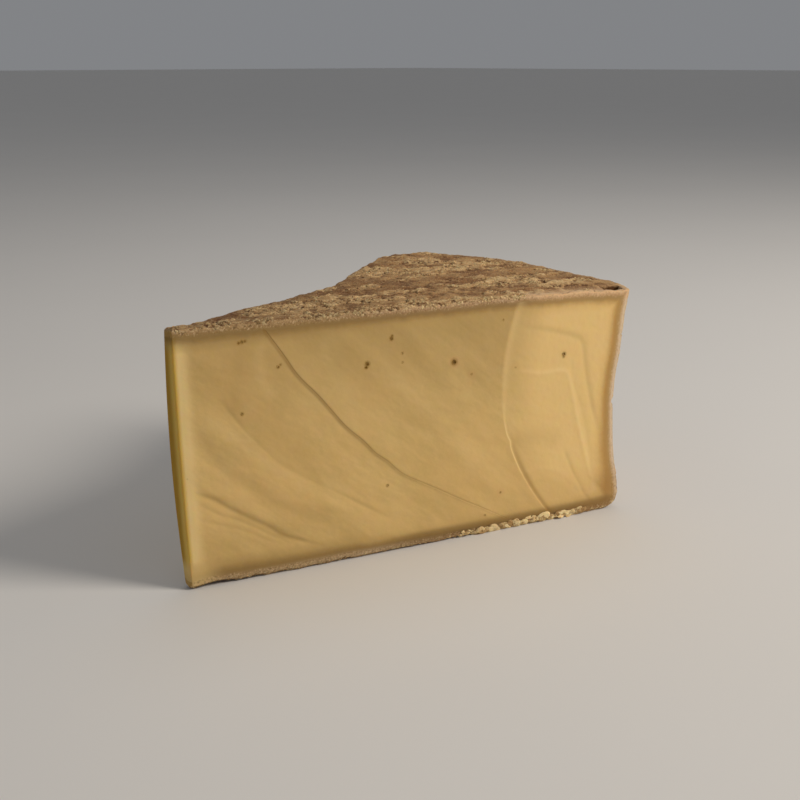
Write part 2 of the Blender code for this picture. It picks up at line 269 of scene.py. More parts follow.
# What the knife left in the front cut. Each mark gives its height (above zero it stands out), its width,
# its tone (above zero it is paler than the paste; partly the paste's own tone, partly painted shade and
# painted light of the mark's relief) and the s, z it runs through, lengths in millimetres.
knifeMarks = (
    (-0.34, 6.5, -0.10, ((6, 126), (32, 97), (57, 69), (96, 40), (145, 3))),
    (0.36, 6.0, 0.0, ((6, 104), (20, 88), (35, 71), (50, 58), (66, 47), (86, 33), (112, 16))),
    (0.0, 5.0, 0.26, ((6, 110), (15.3, 98.5), (25.6, 90.1), (38.8, 77), (51, 65.1), (63.7, 55.8),
                      (78.2, 45.9), (93.1, 34.3), (112, 20))),
    (-0.15, 1.1, -0.30, ((17, 112), (26.2, 101.9), (35.2, 88.8), (44.4, 77.6), (53.1, 67.6), (61.5, 60.5),
                         (81.2, 47.8), (102.3, 34.2), (117.9, 23.7), (129, 16.7))),
    (-0.15, 5.2, -0.36, ((6, 92), (13.2, 83.6), (22, 71.1), (32.6, 60.8), (43.4, 51.8), (57.4, 40.6),
                         (77.8, 28.5), (94, 18))),
    (-0.34, 3.6, -0.12, ((6, 58), (31, 40.5), (57, 22.5), (90, 3))),
    (-0.24, 1.5, -0.45, ((4, 58), (10.3, 55.1), (18.2, 50.9), (26.2, 44.6), (37.2, 36.8), (46.9, 30.5),
                         (56.9, 22.7), (71.5, 16), (86, 8))),
    (-0.15, 1.1, -0.28, ((6, 51), (11.3, 48.1), (20.6, 41.8), (31.5, 36.3), (42.6, 29), (51, 23.2),
                         (62, 16))),
    (-0.10, 1.1, -0.2, ((6, 42), (12.2, 39.3), (23, 34.9), (34, 30), (42.4, 24.8), (52, 18))),
    (-0.10, 5.0, -0.22, ((36.4, 137), (33.4, 122.5), (31, 106), (34.7, 94))),
    (0.0, 4.5, 0.25, ((48, 138), (46, 126), (48, 112), (56, 98))),
    (0.0, 4.0, 0.2, ((82, 138), (84, 122), (90, 108), (104, 92))),
    (0.0, 6.0, -0.22, ((128, 124), (142, 106), (158, 88), (176, 66), (190, 48))),
    (0.0, 6.5, 0.2, ((104, 128), (122, 108), (140, 88), (160, 66), (176, 50), (190, 36))),
    (-0.20, 2.2, -0.30, ((196, 128.2), (211.6, 125.5), (229.1, 121.7), (243.4, 117.1), (249.4, 112.5),
                         (252.4, 98.1), (255.4, 85), (259.1, 71.7), (263.3, 58.1), (266, 42))),
    (-0.10, 1.5, -0.1, ((240.5, 112), (243.8, 88.5), (251.6, 68), (257.3, 47), (262, 20))),
    (0.16, 1.7, 0.40, ((192, 99), (205.8, 99.8), (219.7, 97.2), (233.8, 97.1), (239.3, 94.9), (242.2, 86.7),
                       (245.7, 75.1), (249.5, 60.1), (254.9, 42.9), (260.5, 23.7), (264, 10))),
    (-0.16, 1.5, -0.27, ((238, 50), (243, 38), (249, 26), (256, 14), (262, 6))),
    (0.09, 2.4, 0.18, ((203, 33), (209.9, 35.2), (222.3, 36.4), (237, 31.8), (248.6, 22.3), (256, 14))),
    (0.03, 2.6, -0.14, ((207, 25), (224.6, 28), (238, 21.7), (250, 9))),
    (0.0, 8.0, -0.25, ((198, 56), (212, 58), (226, 56), (240, 48))),
)
# the same for the back cut, which the photo doesn't show
backMarks = (
    (-0.30, 6.0, -0.14, ((14, 128), (46, 100), (82, 76), (124, 46), (168, 10))),
    (0.26, 4.5, 0.24, ((24, 110), (58, 88), (96, 62), (132, 36), (160, 16))),
    (-0.22, 1.6, -0.42, ((20, 66), (50, 50), (84, 32), (118, 12))),
    (-0.16, 1.2, -0.30, ((16, 52), (40, 41), (66, 26), (88, 10))),
    (-0.20, 1.3, -0.34, ((84, 132), (112, 110), (140, 84), (166, 58), (196, 30))),
    (0.18, 2.0, 0.32, ((140, 130), (156, 112), (170, 90), (178, 66), (181, 40), (180, 18))),
    (-0.18, 3.0, -0.22, ((176, 120), (190, 96), (198, 70), (203, 44))),
)
markTaper = 0.2      # the share of a mark over which each end fades

# The curved line where the blade was set down again: the paste to its right lies a little lower
bladeLine = {
    "s": 193.0 * mm,
    "z": 92.0 * mm,
    "bend": 4.8,
    "bendAbove": 3.9,
    "step": 0.35 * mm,
    "stepWidth": 0.9 * mm,
    "stepAbove": 0.35,        # higher up this share of the step is left, and it is soft
    "softWidth": 4.6 * mm,
    "crisp": (96.0 * mm, 62.0 * mm),
    "stepBelow": 0.1,         # near the foot this share of it is left
    "stepFade": (24.0 * mm, 52.0 * mm),
    "slope": 0.012,
    "groove": 0.26 * mm,
    "grooveAt": 1.9 * mm,
    "grooveWidth": 1.3 * mm,
    "grooveFade": (66.0 * mm, 40.0 * mm),
    "nickZ": 57.0 * mm,
    "nickShift": 0.9 * mm,
    "nickReach": 2.6 * mm,
    "from": 110.0 * mm,       # the grid's columns bend to follow the line between these two
    "to": 279.0 * mm,
}

cutFinish = {
    "swell": 1.1 * mm,
    "streak": 0.10 * mm,
    "streakSize": 9.0 * mm,
    "streakStretch": 0.22,
    "streakSlope": -0.85,
    "dimple": 0.05 * mm,
    "dimpleSize": 2.6 * mm,
    "backArcs": (0.25, 0.55, 0.8),      # shallow arcs across the back cut, by their share of its length
    "backArcSpan": 0.26,
    "backArcDepth": 0.6 * mm,
    "backArcWidth": 3.5 * mm,
}

crack = {
    "points": ((49.5, 140.2), (58.8, 126.3), (67, 113.5), (79, 100), (93.1, 82.2), (104, 71.6), (111.5, 63.2),
               (119.1, 57.0), (128.7, 47.8), (142.5, 39.6), (154.6, 32.7), (166, 25.9), (181.8, 17.2),
               (199, 7.4)),
    "width": 1.3 * mm,
    "depth": 0.24 * mm,
    "endSize": 0.35,          # its ends, and how much it narrows on the way down
    "narrowing": 0.3,
    "lip": 0.34 * mm,         # the paste above it stands a little proud
    "lipEdge": 0.6 * mm,
    "lipReach": 9.0 * mm,
    "lipEase": (0.15, 0.1),
    # how strongly the crack's line is painted darker: painted shade in the groove and under its proud lip
    "crackShade": 0.56,
}


def bladeBend(z):
    return np.where(z > bladeLine["z"], bladeLine["bendAbove"], bladeLine["bend"]) * (z - bladeLine["z"]) ** 2


def bladeShift(z):
    return bladeBend(z) + bladeLine["nickShift"] * bump(z - bladeLine["nickZ"], bladeLine["nickReach"])


def pastBlade(s, z):
    return s - bladeLine["s"] - bladeShift(z)


def markSum(marks, kind, s, z):
    # the heights or the tones of all these marks at these places
    total = np.zeros(np.shape(s))
    for height, width, tone, points in marks:
        strength = height if kind == "height" else tone
        if strength:
            distance, along = nearestOn(smoothCurve(points), s, z)
            taper = smoothStep(0, markTaper, along) * smoothStep(0, markTaper, 1 - along)
            total = total + strength * taper * bump(distance, width * mm)
    return total


def frontRelief(s, z):
    swell = cutFinish["swell"] * np.sin(9 * s + 0.5) * np.sin(17 * z + 0.3)
    gap, along = nearestOn(smoothCurve(crack["points"]), s, z)
    fromTop, fromFoot = crack["lipEase"]
    lip = crack["lip"] * smoothStep(0, fromTop, along) * smoothStep(0, fromFoot, 1 - along)
    lip = lip * smoothStep(-crack["lipEdge"], crack["lipEdge"], gap)
    lip = lip * np.exp(-np.maximum(gap, 0) / crack["lipReach"])
    past = pastBlade(s, z)
    crisp = smoothStep(*bladeLine["crisp"], z)
    width = bladeLine["softWidth"] + (bladeLine["stepWidth"] - bladeLine["softWidth"]) * crisp
    step = bladeLine["step"] * smoothStep(0, width, past)
    aboveFoot = smoothStep(*bladeLine["stepFade"], z)
    for least, share in ((bladeLine["stepAbove"], crisp), (bladeLine["stepBelow"], aboveFoot)):
        step = step * (least + (1 - least) * share)
    groove = bladeLine["groove"] * bump(past - bladeLine["grooveAt"], bladeLine["grooveWidth"])
    groove = groove * smoothStep(*bladeLine["grooveFade"], z)
    marks = markSum(knifeMarks, "height", s, z) * mm
    return swell + marks + lip - step - groove - bladeLine["slope"] * np.maximum(past, 0)


def backRelief(s, z):
    height = cutFinish["swell"] * np.sin(14 * s + 2.0) * np.sin(19 * z + 1.0)
    height = height + markSum(backMarks, "height", s, z) * mm
    for share in cutFinish["backArcs"]:
        arc = s - cutFinish["backArcSpan"] * share - 0.035 * np.sin(12 * z + 4 * share)
        height = height - cutFinish["backArcDepth"] * bump(arc, cutFinish["backArcWidth"])
    return height


def pullIn(first, second, radius):
    # how far a point leaves two sides so that the edge between them comes out round
    a, b = np.clip(radius - first, 0, None), np.clip(radius - second, 0, None)
    shrink = 1 - np.maximum(a, b) / np.maximum(np.hypot(a, b), 1e-9)
    return a * shrink, b * shrink


def wedgePoint(along, across, up):
    # any place in the wedge, from its three shares (nose to heel, front to back, foot to top): the point,
    # how far it is from each side, and the way inwards from each side
    level = up * wheel["height"]
    place = planPoint(along, across, level)
    fromFrontToBack = planPoint(along, 0 * across + 1, level) - planPoint(along, 0 * across, level)
    width = np.linalg.norm(fromFrontToBack, axis=-1)
    away = {"front": across * width, "back": (1 - across) * width,
            "nose": along * wedge["length"], "heel": (1 - along) * wedge["length"]}
    low, high = footHeight(place, np.minimum(away["front"], away["back"])), topHeight(place)
    away["foot"], away["top"] = up * (high - low), (1 - up) * (high - low)
    z = low + away["foot"]
    flat = np.zeros(z.shape + (1,))
    outward = np.concatenate([direction(angleOf(place)), flat], -1)
    inward = np.concatenate([direction(across * wedge["angle"] + math.pi / 2), flat], -1)
    upward = np.concatenate([flat, flat, flat + 1], -1)
    moves = {"front": inward, "back": -inward, "nose": outward, "heel": -outward,
             "foot": upward, "top": -upward}
    point = np.concatenate([place, z[..., None]], -1)
    relief = backRelief(place[..., 0], z) * across - frontRelief(place[..., 0], z) * (1 - across)
    point = point + (relief * smoothStep(0, wedge["reliefEase"], along))[..., None] * inward
    for first, second, radius in roundEdges:
        for side, move in zip((first, second), pullIn(away[first], away[second], radius)):
            point = point + move[..., None] * moves[side]
    return point, away, moves


def turnToPart(vectors):
    s, n = vectors[..., 0], vectors[..., 1]
    x = s * math.cos(halfAngle) + n * math.sin(halfAngle)
    y = n * math.cos(halfAngle) - s * math.sin(halfAngle)
    return np.concatenate([np.stack([x, y], -1), vectors[..., 2:]], -1)


def toPartFrame(points):
    return turnToPart(points) + (*wedge["noseCorner"], 0.0)


def toCutFrame(points):
    x, y = points[..., 0] - wedge["noseCorner"][0], points[..., 1] - wedge["noseCorner"][1]
    s = x * math.cos(halfAngle) - y * math.sin(halfAngle)
    n = x * math.sin(halfAngle) + y * math.cos(halfAngle)
    return s, n, points[..., 2]


def gridLines(length, cell, fine=()):
    # places from 0 to length about a cell apart, closer near each (place, smallest cell, growth)
    samples = np.linspace(0, length, 6001)
    size = np.full(samples.shape, cell)
    for place, smallest, growth in fine:
        size = np.minimum(size, smallest + growth * np.abs(samples - place))
    count = np.concatenate([[0], np.cumsum(2 * np.diff(samples) / (size[1:] + size[:-1]))])
    wanted = np.linspace(0, count[-1], int(round(count[-1])) + 1)
    return np.interp(wanted, count, samples)


def boxMesh(name, lines, pointAt):
    # a closed mesh over the six sides of a grid
    # pointAt works out its points, and what else pointAt gives is passed on
    counts = [len(line) for line in lines]
    onSide = np.zeros(counts, bool)
    for axis in range(3):
        side = np.moveaxis(onSide, axis, 0)
        side[0] = side[-1] = True
    ids = np.full(counts, -1)
    ids[onSide] = np.arange(onSide.sum())
    points, extra = pointAt(*(line[index] for line, index in zip(lines, np.nonzero(onSide))))
    rings = []
    sides = ((0, 0, False), (0, -1, True), (1, 0, True), (1, -1, False), (2, 0, False), (2, -1, True))
    for axis, end, turned in sides:
        side = np.take(ids, end, axis=axis)
        ring = np.stack([side[:-1, :-1], side[:-1, 1:], side[1:, 1:], side[1:, :-1]], -1).reshape(-1, 4)
        rings.append(ring[:, ::-1] if turned else ring)
    mesh = bpy.data.meshes.new(name)
    mesh.from_pydata(points.tolist(), [], np.vstack(rings).tolist())
    mesh.update()
    return mesh, extra


def setAttribute(mesh, name, values):
    kind = "FLOAT_VECTOR" if np.ndim(values) == 2 else "FLOAT"
    attribute = mesh.attributes.get(name) or mesh.attributes.new(name, kind, "POINT")
    field = "vector" if kind == "FLOAT_VECTOR" else "value"
    attribute.data.foreach_set(field, np.ravel(values).astype(np.float32))


def getAttribute(mesh, name):
    values = np.zeros(len(mesh.vertices), np.float32)
    mesh.attributes[name].data.foreach_get("value", values)
    return values


def pointsOf(mesh):
    points = np.zeros(3 * len(mesh.vertices), np.float32)
    mesh.vertices.foreach_get("co", points)
    return points.reshape(-1, 3).astype(float)


def keepInBox(mesh):
    # nothing may stand out of the solid's own box
    points = np.clip(pointsOf(mesh), cadLow, cadHigh)
    mesh.vertices.foreach_set("co", points.ravel().astype(np.float32))
    mesh.update()


def newPiece(name, mesh):
    piece = bpy.data.objects.new(name, mesh)
    bpy.context.scene.collection.objects.link(piece)
    return piece


def bakeModifiers(piece):
    graph = bpy.context.evaluated_depsgraph_get()
    mesh = bpy.data.meshes.new_from_object(piece.evaluated_get(graph), depsgraph=graph)
    piece.modifiers.clear()
    piece.data = mesh
    mesh.name = piece.name


# Node helpers, for shaders and for geometry alike

def addNode(tree, kind, inputs=None, **settings):
    made = tree.nodes.new(kind)
    for name, value in settings.items():
        setattr(made, name, value)
    for key, value in (inputs or {}).items():
        if isinstance(value, bpy.types.NodeSocket):
            tree.links.new(value, made.inputs[key])
        else:
            made.inputs[key].default_value = value
    return made


def outOf(tree, kind, inputs=None, **settings):
    # a new node's first output
    return addNode(tree, kind, inputs, **settings).outputs[0]


def sums(tree, operation, *values):
    return outOf(tree, "ShaderNodeMath", dict(enumerate(values)), operation=operation)


def times(tree, first, *others):
    for other in others:
        first = sums(tree, "MULTIPLY", first, other)
    return first


def greatest(tree, first, *others):
    for other in others:
        first = sums(tree, "MAXIMUM", first, other)
    return first


def less(tree, first, second):
    return sums(tree, "SUBTRACT", first, second)


def ramp(tree, value, low, high, start=0.0, end=1.0):
    inputs = {0: value, 1: low, 2: high, 3: start, 4: end}
    return outOf(tree, "ShaderNodeMapRange", inputs, interpolation_type="SMOOTHSTEP")


def noiseAt(tree, place, size, detail=2.0, rough=0.5, warp=0.0):
    scale = sums(tree, "DIVIDE", 1.0, size)
    inputs = {"Vector": place, "Scale": scale, "Detail": detail, "Roughness": rough, "Distortion": warp}
    return addNode(tree, "ShaderNodeTexNoise", inputs).outputs


def vectorSum(tree, operation, first, second):
    made = addNode(tree, "ShaderNodeVectorMath", {0: first, 1: second}, operation=operation)
    return made.outputs["Value" if operation in ("DOT_PRODUCT", "DISTANCE") else "Vector"]


def scaled(tree, vector, factor):
    return outOf(tree, "ShaderNodeVectorMath", {0: vector, 3: factor}, operation="SCALE")


def blendColour(tree, factor, first, second):
    return addNode(tree, "ShaderNodeMix", {0: factor, 6: first, 7: second}, data_type="RGBA").outputs[2]


def blendNumber(tree, factor, first, second):
    return outOf(tree, "ShaderNodeMix", {0: factor, 2: first, 3: second}, data_type="FLOAT")


def tint(red, green, blue):
    # a colour as seen (0 to 255) to the shader's linear one
    return (*(((c / 255 + 0.055) / 1.055) ** 2.4 for c in (red, green, blue)), 1.0)


def read(tree, *names):
    # one number stored on the mesh, or a dictionary of several
    found = {name: addNode(tree, "ShaderNodeAttribute", attribute_name=name).outputs["Fac"] for name in names}
    return found[names[0]] if len(names) == 1 else found


def stained(tree, colour, signals, stainsAndShade):
    # blends each stain's tint in, by its strength and by its ramps on the named signals, all multiplied
    for tone, strength, *bounds in stainsAndShade:
        shares = [ramp(tree, signals[name], *zone) if zone else signals[name] for name, *zone in bounds]
        colour = blendColour(tree, times(tree, *shares, strength), colour, tone)
    return colour


def roughSkin(tree, shader, height, strength, distance):
    made = addNode(tree, "ShaderNodeBump", {"Strength": strength, "Distance": distance, "Height": height})
    tree.links.new(made.outputs[0], shader.inputs["Normal"])


def newMaterial(name, settings):
    material = bpy.data.materials.new(name)
    material.use_nodes = True
    tree = material.node_tree
    shader = tree.nodes["Principled BSDF"]
    for socket, value in settings.items():
        shader.inputs[socket].default_value = value
    place = addNode(tree, "ShaderNodeTexCoord").outputs["Object"]
    return material, tree, shader, place


def newTree(name, sizes):
    # a geometry tree with one named number for each size, and a material
    tree = bpy.data.node_groups.new(name, "GeometryNodeTree")
    tree.interface.new_socket(name="Geometry", in_out="INPUT", socket_type="NodeSocketGeometry")
    for label, value in sizes.items():
        kind = "NodeSocketInt" if isinstance(value, int) else "NodeSocketFloat"
        tree.interface.new_socket(name=label, in_out="INPUT", socket_type=kind).default_value = value
    tree.interface.new_socket(name="Material", in_out="INPUT", socket_type="NodeSocketMaterial")
    tree.interface.new_socket(name="Geometry", in_out="OUTPUT", socket_type="NodeSocketGeometry")
    return tree, addNode(tree, "NodeGroupInput").outputs


def endTree(tree, geometry, material):
    realized = outOf(tree, "GeometryNodeRealizeInstances", {"Geometry": geometry})
    done = outOf(tree, "GeometryNodeSetMaterial", {"Geometry": realized, "Material": material})
    addNode(tree, "NodeGroupOutput", {0: done})


def runTree(piece, tree, values):
    modifier = piece.modifiers.new(tree.name, "NODES")
    modifier.node_group = tree
    for item in tree.interface.items_tree:
        if item.in_out == "INPUT" and item.name in values:
            modifier[item.identifier] = values[item.name]


def named(tree, name, kind="FLOAT"):
    return outOf(tree, "GeometryNodeInputNamedAttribute", {"Name": name}, data_type=kind)


def store(tree, geometry, name, value):
    inputs = {"Geometry": geometry, "Name": name, "Value": value}
    return outOf(tree, "GeometryNodeStoreNamedAttribute", inputs, data_type="FLOAT", domain="POINT")


# How the cheese looks in a cut, from the crust inwards. Depths, and lengths and heights in ramps, are in
# millimetres. A noise gives its size, detail, roughness and warp. A stain gives its tint, its strength and
# the ramps that bound it: signal, low, high, and the shares at these two where they aren't 0 and 1.
section = {
    "rindDepth": 4.3,
    "footRindDepth": 5.2,
    "footRindThins": (90.0 * mm, 160.0 * mm),
    "heelRindDepth": 4.8,
    "layers": (              # depth, colour, and how far it hides the paste's own
        (0.0, tint(204, 167, 124), 1.0),
        (1.0, tint(196, 161, 120), 1.0),
        (2.2, tint(181, 147, 109), 1.0),
        (3.2, tint(167, 134, 93), 1.0),
        (4.5, tint(149, 119, 74), 1.0),
        (5.6, tint(150, 118, 68), 0.95),
        (7.2, tint(168, 136, 80), 0.75),
        (9.2, tint(186, 154, 94), 0.42),
        (13.5, tint(200, 166, 104), 0.0),
    ),
    "heelLayers": (
        (0.0, tint(224, 198, 164), 1.0),
        (1.4, tint(224, 200, 168), 1.0),
        (2.0, tint(216, 188, 152), 1.0),
        (2.7, tint(205, 173, 132), 1.0),
        (3.3, tint(195, 160, 108), 1.0),
        (4.0, tint(189, 152, 95), 1.0),
        (5.0, tint(188, 146, 82), 1.0),
        (6.0, tint(192, 150, 84), 1.0),
        (7.0, tint(200, 158, 92), 0.9),
        (8.0, tint(207, 166, 99), 0.75),
        (9.4, tint(218, 181, 114), 0.55),
        (11.0, tint(226, 188, 121), 0.3),
        (13.5, tint(230, 194, 128), 0.0),
    ),
    "deepest": 14.0,
    "waver": (3.0 * mm, 3.0, 0.6),
    "waverBy": 1.2,
    "grain": (1.25 * mm, 3.0, 0.75),
    "hollow": (4.5 * mm, 2.0, 0.6),
    "inRind": (4.9, 2.7),
    "newer": ((192.0, 232.0), (20.0, 50.0)),     # the newer cut near the heel is lighter, along and up
    "newerLight": 0.32,
    "noseLight": (45.0, 160.0, -0.11, 0.1),
    "calmGrain": -0.6,
    "stainsAndShade": (
        # the foot's rind is greyer, with a dull line above it
        (tint(190, 169, 137), 0.6, ("height", 6.5, 2.5), ("cover",), ("along", 120.0, 170.0, 1.0, 0.1)),
        (tint(128, 98, 46), 0.5, ("along", 105.0, 140.0), ("height", 11.0, 7.0)),
        # towards the nose all of it is more olive
        (tint(172, 139, 78), 0.34, ("along", 150.0, 60.0), ("cover",)),
        # painted shade in the hollows between the foot's flakes
        (tint(104, 76, 42), 1.0, ("hollow", 0.46, 0.56, 0.15, 0.75), ("height", 5.8, 4.2),
         ("along", 150.0, 172.0), ("along", 262.0, 252.0)),
        # brown and broad round the corner of heel and foot
        (tint(160, 118, 62), 0.34, ("along", 238.0, 262.0), ("height", 34.0, 16.0), ("cover",)),
        # the tip of the nose is pale
        (tint(226, 194, 130), 0.7, ("along", 24.0, 5.0), ("height", 20.0, 10.0)),
        # the rind's own dark and pale grain
        (tint(122, 94, 62), 0.6, ("inRind",), ("grain", 0.50, 0.36), ("grainy",)),
        (tint(222, 196, 156), 0.62, ("inRind",), ("grain", 0.53, 0.66)),
    ),
    # where the bands run, for the numbers stored on the meshes
    "cornerBow": 4.0 * mm,
    "deepInside": 0.2,                 # metres: any place deeper than this counts as this deep
    "heelTurn": 4.0 * mm,
    "heelSlows": ((75.0 * mm, 35.0 * mm), (34.0 * mm, 14.0 * mm)),
    "heelSlowsBy": 0.35,
    "heelEnds": (24.0 * mm, 14.0 * mm),
}


def cutLength(tree, place):
    # millimetres along the front cut, from the nose
    start = wedge["noseCorner"][0] * cutWay[0] + wedge["noseCorner"][1] * cutWay[1]
    return sums(tree, "DIVIDE", less(tree, vectorSum(tree, "DOT_PRODUCT", place, cutWay), start), mm)


def heightOf(tree, place):
    # millimetres above the wedge's foot
    return sums(tree, "DIVIDE", addNode(tree, "ShaderNodeSeparateXYZ", {0: place}).outputs[2], mm)


def drawnOut(tree, place, slope, stretch):
    # the same place, drawn out along a line that rises by slope along the front cut
    steep = math.hypot(1.0, slope)
    way = (cutWay[0] / steep, cutWay[1] / steep, slope / steep)
    shrink = less(tree, sums(tree, "DIVIDE", 1.0, stretch), 1.0)
    share = times(tree, vectorSum(tree, "DOT_PRODUCT", place, way), shrink)
    return vectorSum(tree, "ADD", place, scaled(tree, way, share))


pasteTints = {
    "base": tint(230, 198, 133),
    "shade": tint(208, 176, 112),
    "warm": tint(231, 193, 128),
    "stretch": 3.6,
    "clouds": (22.0 * mm, 4.0, 0.62, 0.2),
    "streaks": (4.0 * mm, 3.0, 0.6),
    "fine": (1.6 * mm, 3.0, 0.65),
    "warmth": (55.0 * mm, 2.0, 0.5),
    "cloudShare": (0.36, 0.64, 0.0, 0.55),
    "streakShare": (0.35, 0.65, 0.0, 0.22),
    "fineShare": 0.35,
    "warmShare": (0.42, 0.62, 0.0, 0.3),
}


def pasteTone(tree, place):
    # soft clouds and faint streaks in the paste's own colour
    drawn = drawnOut(tree, place, cutFinish["streakSlope"], pasteTints["stretch"])
    clouds = ramp(tree, noiseAt(tree, drawn, *pasteTints["clouds"])[0], *pasteTints["cloudShare"])
    streaks = ramp(tree, noiseAt(tree, drawn, *pasteTints["streaks"])[0], *pasteTints["streakShare"])
    fine = noiseAt(tree, place, *pasteTints["fine"])[0]
    tone = sums(tree, "ADD", sums(tree, "MULTIPLY_ADD", fine, pasteTints["fineShare"], clouds), streaks)
    colour = blendColour(tree, tone, pasteTints["base"], pasteTints["shade"])
    warm = ramp(tree, noiseAt(tree, place, *pasteTints["warmth"])[0], *pasteTints["warmShare"])
    return blendColour(tree, warm, colour, pasteTints["warm"])


def layerRamp(tree, share, stops):
    # colour and cover by depth, from a table of stops
    made = addNode(tree, "ShaderNodeValToRGB", {0: share})
    elements = made.color_ramp.elements
    while len(elements) < len(stops):
        elements.new(0.5)
    for element, (depth, colour, cover) in zip(elements, stops):
        element.position = depth / section["deepest"]
        element.color = (*colour[:3], cover)
    return made.outputs


def sectionColour(tree, place, paste):
    # paste, then the brownish line under the rind, then the rind's own grey and pale grain
    waver = less(tree, noiseAt(tree, place, *section["waver"])[0], 0.5)
    depth = sums(tree, "MULTIPLY_ADD", waver, section["waverBy"], read(tree, "depth"))
    share = sums(tree, "DIVIDE", depth, section["deepest"])
    flat = layerRamp(tree, share, section["layers"])
    heel = layerRamp(tree, share, section["heelLayers"])
    heelShare = read(tree, "heelShare")
    along, height = cutLength(tree, place), heightOf(tree, place)
    newerAlong, newerUp = section["newer"]
    newer = times(tree, ramp(tree, along, *newerAlong), ramp(tree, height, *newerUp))
    lighter = sums(tree, "MULTIPLY_ADD", newer, section["newerLight"], 1.0)
    lighter = sums(tree, "ADD", lighter, ramp(tree, along, *section["noseLight"]))
    layer = blendColour(tree, heelShare, scaled(tree, flat[0], lighter), heel[0])
    cover = blendNumber(tree, heelShare, flat[1], heel[1])
    signals = {
        "along": along,
        "height": height,
        "cover": cover,
        "inRind": ramp(tree, depth, *section["inRind"]),
        "grain": noiseAt(tree, place, *section["grain"])[0],
        "hollow": noiseAt(tree, place, *section["hollow"])[0],
        "grainy": times(tree, *(sums(tree, "MULTIPLY_ADD", part, section["calmGrain"], 1.0)
                                for part in (heelShare, newer))),
    }
    return stained(tree, blendColour(tree, cover, paste, layer), signals, section["stainsAndShade"])


# The paste: the wedge without its rind, with the knife's marks, the crack and the eyes

eyes = {
    # small round holes: s, z, radius in millimetres, and how red the paste is round each
    "front": (
        (161.2, 110.5, 1.6, 0.5), (107.3, 115.6, 1.3, 0.0), (122.0, 128.4, 1.05, 0.1),
        (236.2, 106.6, 1.15, 0.2), (36.6, 135.4, 0.9, 0.0), (55.8, 119.8, 0.85, 0.0), (35.1, 96.3, 0.85, 0.0),
        (128.5, 119.4, 0.7, 0.0), (128.7, 114.1, 0.6, 0.0), (172.7, 102.0, 0.6, 0.3), (119.2, 42.1, 0.8, 0.1),
        (202.3, 102.5, 0.5, 0.1), (193.1, 132.0, 0.6, 0.0), (194.3, 25.0, 0.65, 0.4),
        (184.1, 11.9, 0.65, 0.1), (3.8, 64.7, 0.4, 0.0),
    ),
    # where the stain runs on beyond a hole
    "smears": (
        (106.6, 113.7, 0.95, 0.0), (122.4, 129.8, 0.75, 0.0), (236.1, 105.3, 0.8, 0.0),
        (34.9, 134.9, 0.8, 0.0), (38.3, 135.7, 0.75, 0.0), (57.1, 120.9, 0.7, 0.0),
    ),
    "back": (
        (42.0, 104.0, 1.3, 0.2), (71.0, 121.0, 1.1, 0.0), (96.0, 92.0, 0.8, 0.0), (118.0, 60.0, 0.9, 0.1),
        (138.0, 116.0, 1.4, 0.4), (166.0, 47.0, 1.0, 0.0), (188.0, 108.0, 1.2, 0.2), (203.0, 82.0, 0.9, 0.0),
    ),
    "sink": -0.6,                    # how deep a hole's middle lies, in radii
    "uneven": 0.16,
    "unevenSize": 0.9 * mm,
    "wobble": (1.0 * mm, 3.0, 0.65),
    "wobbleBy": 1.3 * mm,
    "faint": (0.5, 1.0, 0.1),        # between these radii the stain grows, and is at least this strong
    "core": (1.3, 0.7),              # where each stain ends and where it is full, in radii
    "brown": (2.1, 0.8),
    "brownShare": (0.4, 0.3),
    "blushReach": 3.6,
    "blushShare": 0.5,
    "tints": (tint(206, 148, 96), tint(160, 122, 54), tint(100, 66, 10)),
}

pasteGrid = {
    "alongCell": 1.0 * mm,
    "acrossCell": 0.14,
    "upCell": 1.02 * mm,
    "cutSkin": 0.3 * mm,             # the fine unevenness stays this close to a cut
    "noseEase": 6.0 * mm,
}


def pastePoint(along, across, up):
    # the columns lean over so that one of them runs down the blade's line
    level = up * wheel["height"]
    tent = np.interp(along * wedge["length"], (bladeLine["from"], bladeLine["s"], bladeLine["to"]), (0, 1, 0))
    along = along + tent * bladeShift(level) / wedge["length"]
    point, away, moves = wedgePoint(along, across, up)
    streaks = np.stack([point[..., 0] * cutFinish["streakStretch"] - point[..., 2] * cutFinish["streakSlope"],
                        point[..., 1], point[..., 0] * 0 + 0.3], -1)
    uneven = cutFinish["streak"] * fractal(streaks, cutFinish["streakSize"])
    uneven = uneven + cutFinish["dimple"] * fractal(point, cutFinish["dimpleSize"], 2)
    onCut = sum(bump(away[side], pasteGrid["cutSkin"])[:, None] * moves[side] for side in ("front", "back"))
    fade = smoothStep(0, pasteGrid["noseEase"], away["nose"])
    return toPartFrame(point + onCut * (uneven * fade)[:, None]), None


def pasteMesh():
    length, height = wedge["length"], wheel["height"]
    rind, heelRind = section["rindDepth"] * mm, section["heelRindDepth"] * mm
    blade = bladeLine["s"]
    fineAlong = ((0, 0.12 * mm, 0.25), (blade, 0.2 * mm, 0.25),
                 (blade + bladeLine["stepWidth"], 0.2 * mm, 0.25))
    lines = (
        gridLines(length - heelRind, pasteGrid["alongCell"], fineAlong) / length,
        gridLines(1.0, pasteGrid["acrossCell"], ((0, 0.02, 0.22), (1, 0.03, 0.22))),
        (rind + gridLines(height - 2 * rind, pasteGrid["upCell"])) / height,
    )
    return boxMesh("cheesePaste", lines, pastePoint)[0]


def frontPoint(s, z, depth):
    return Vector((s, depth - float(frontRelief(np.array([s]), np.array([z]))[0]), z))


def backPoint(s, z, depth):
    along = s / wedge["length"] + np.array([0, 0.01])
    first, second = wedgePoint(along, np.ones(2), np.full(2, z / wheel["height"]))[0]
    run = (second - first) / np.linalg.norm(second - first)
    return Vector((first[0] + run[1] * depth, first[1] - run[0] * depth, z))


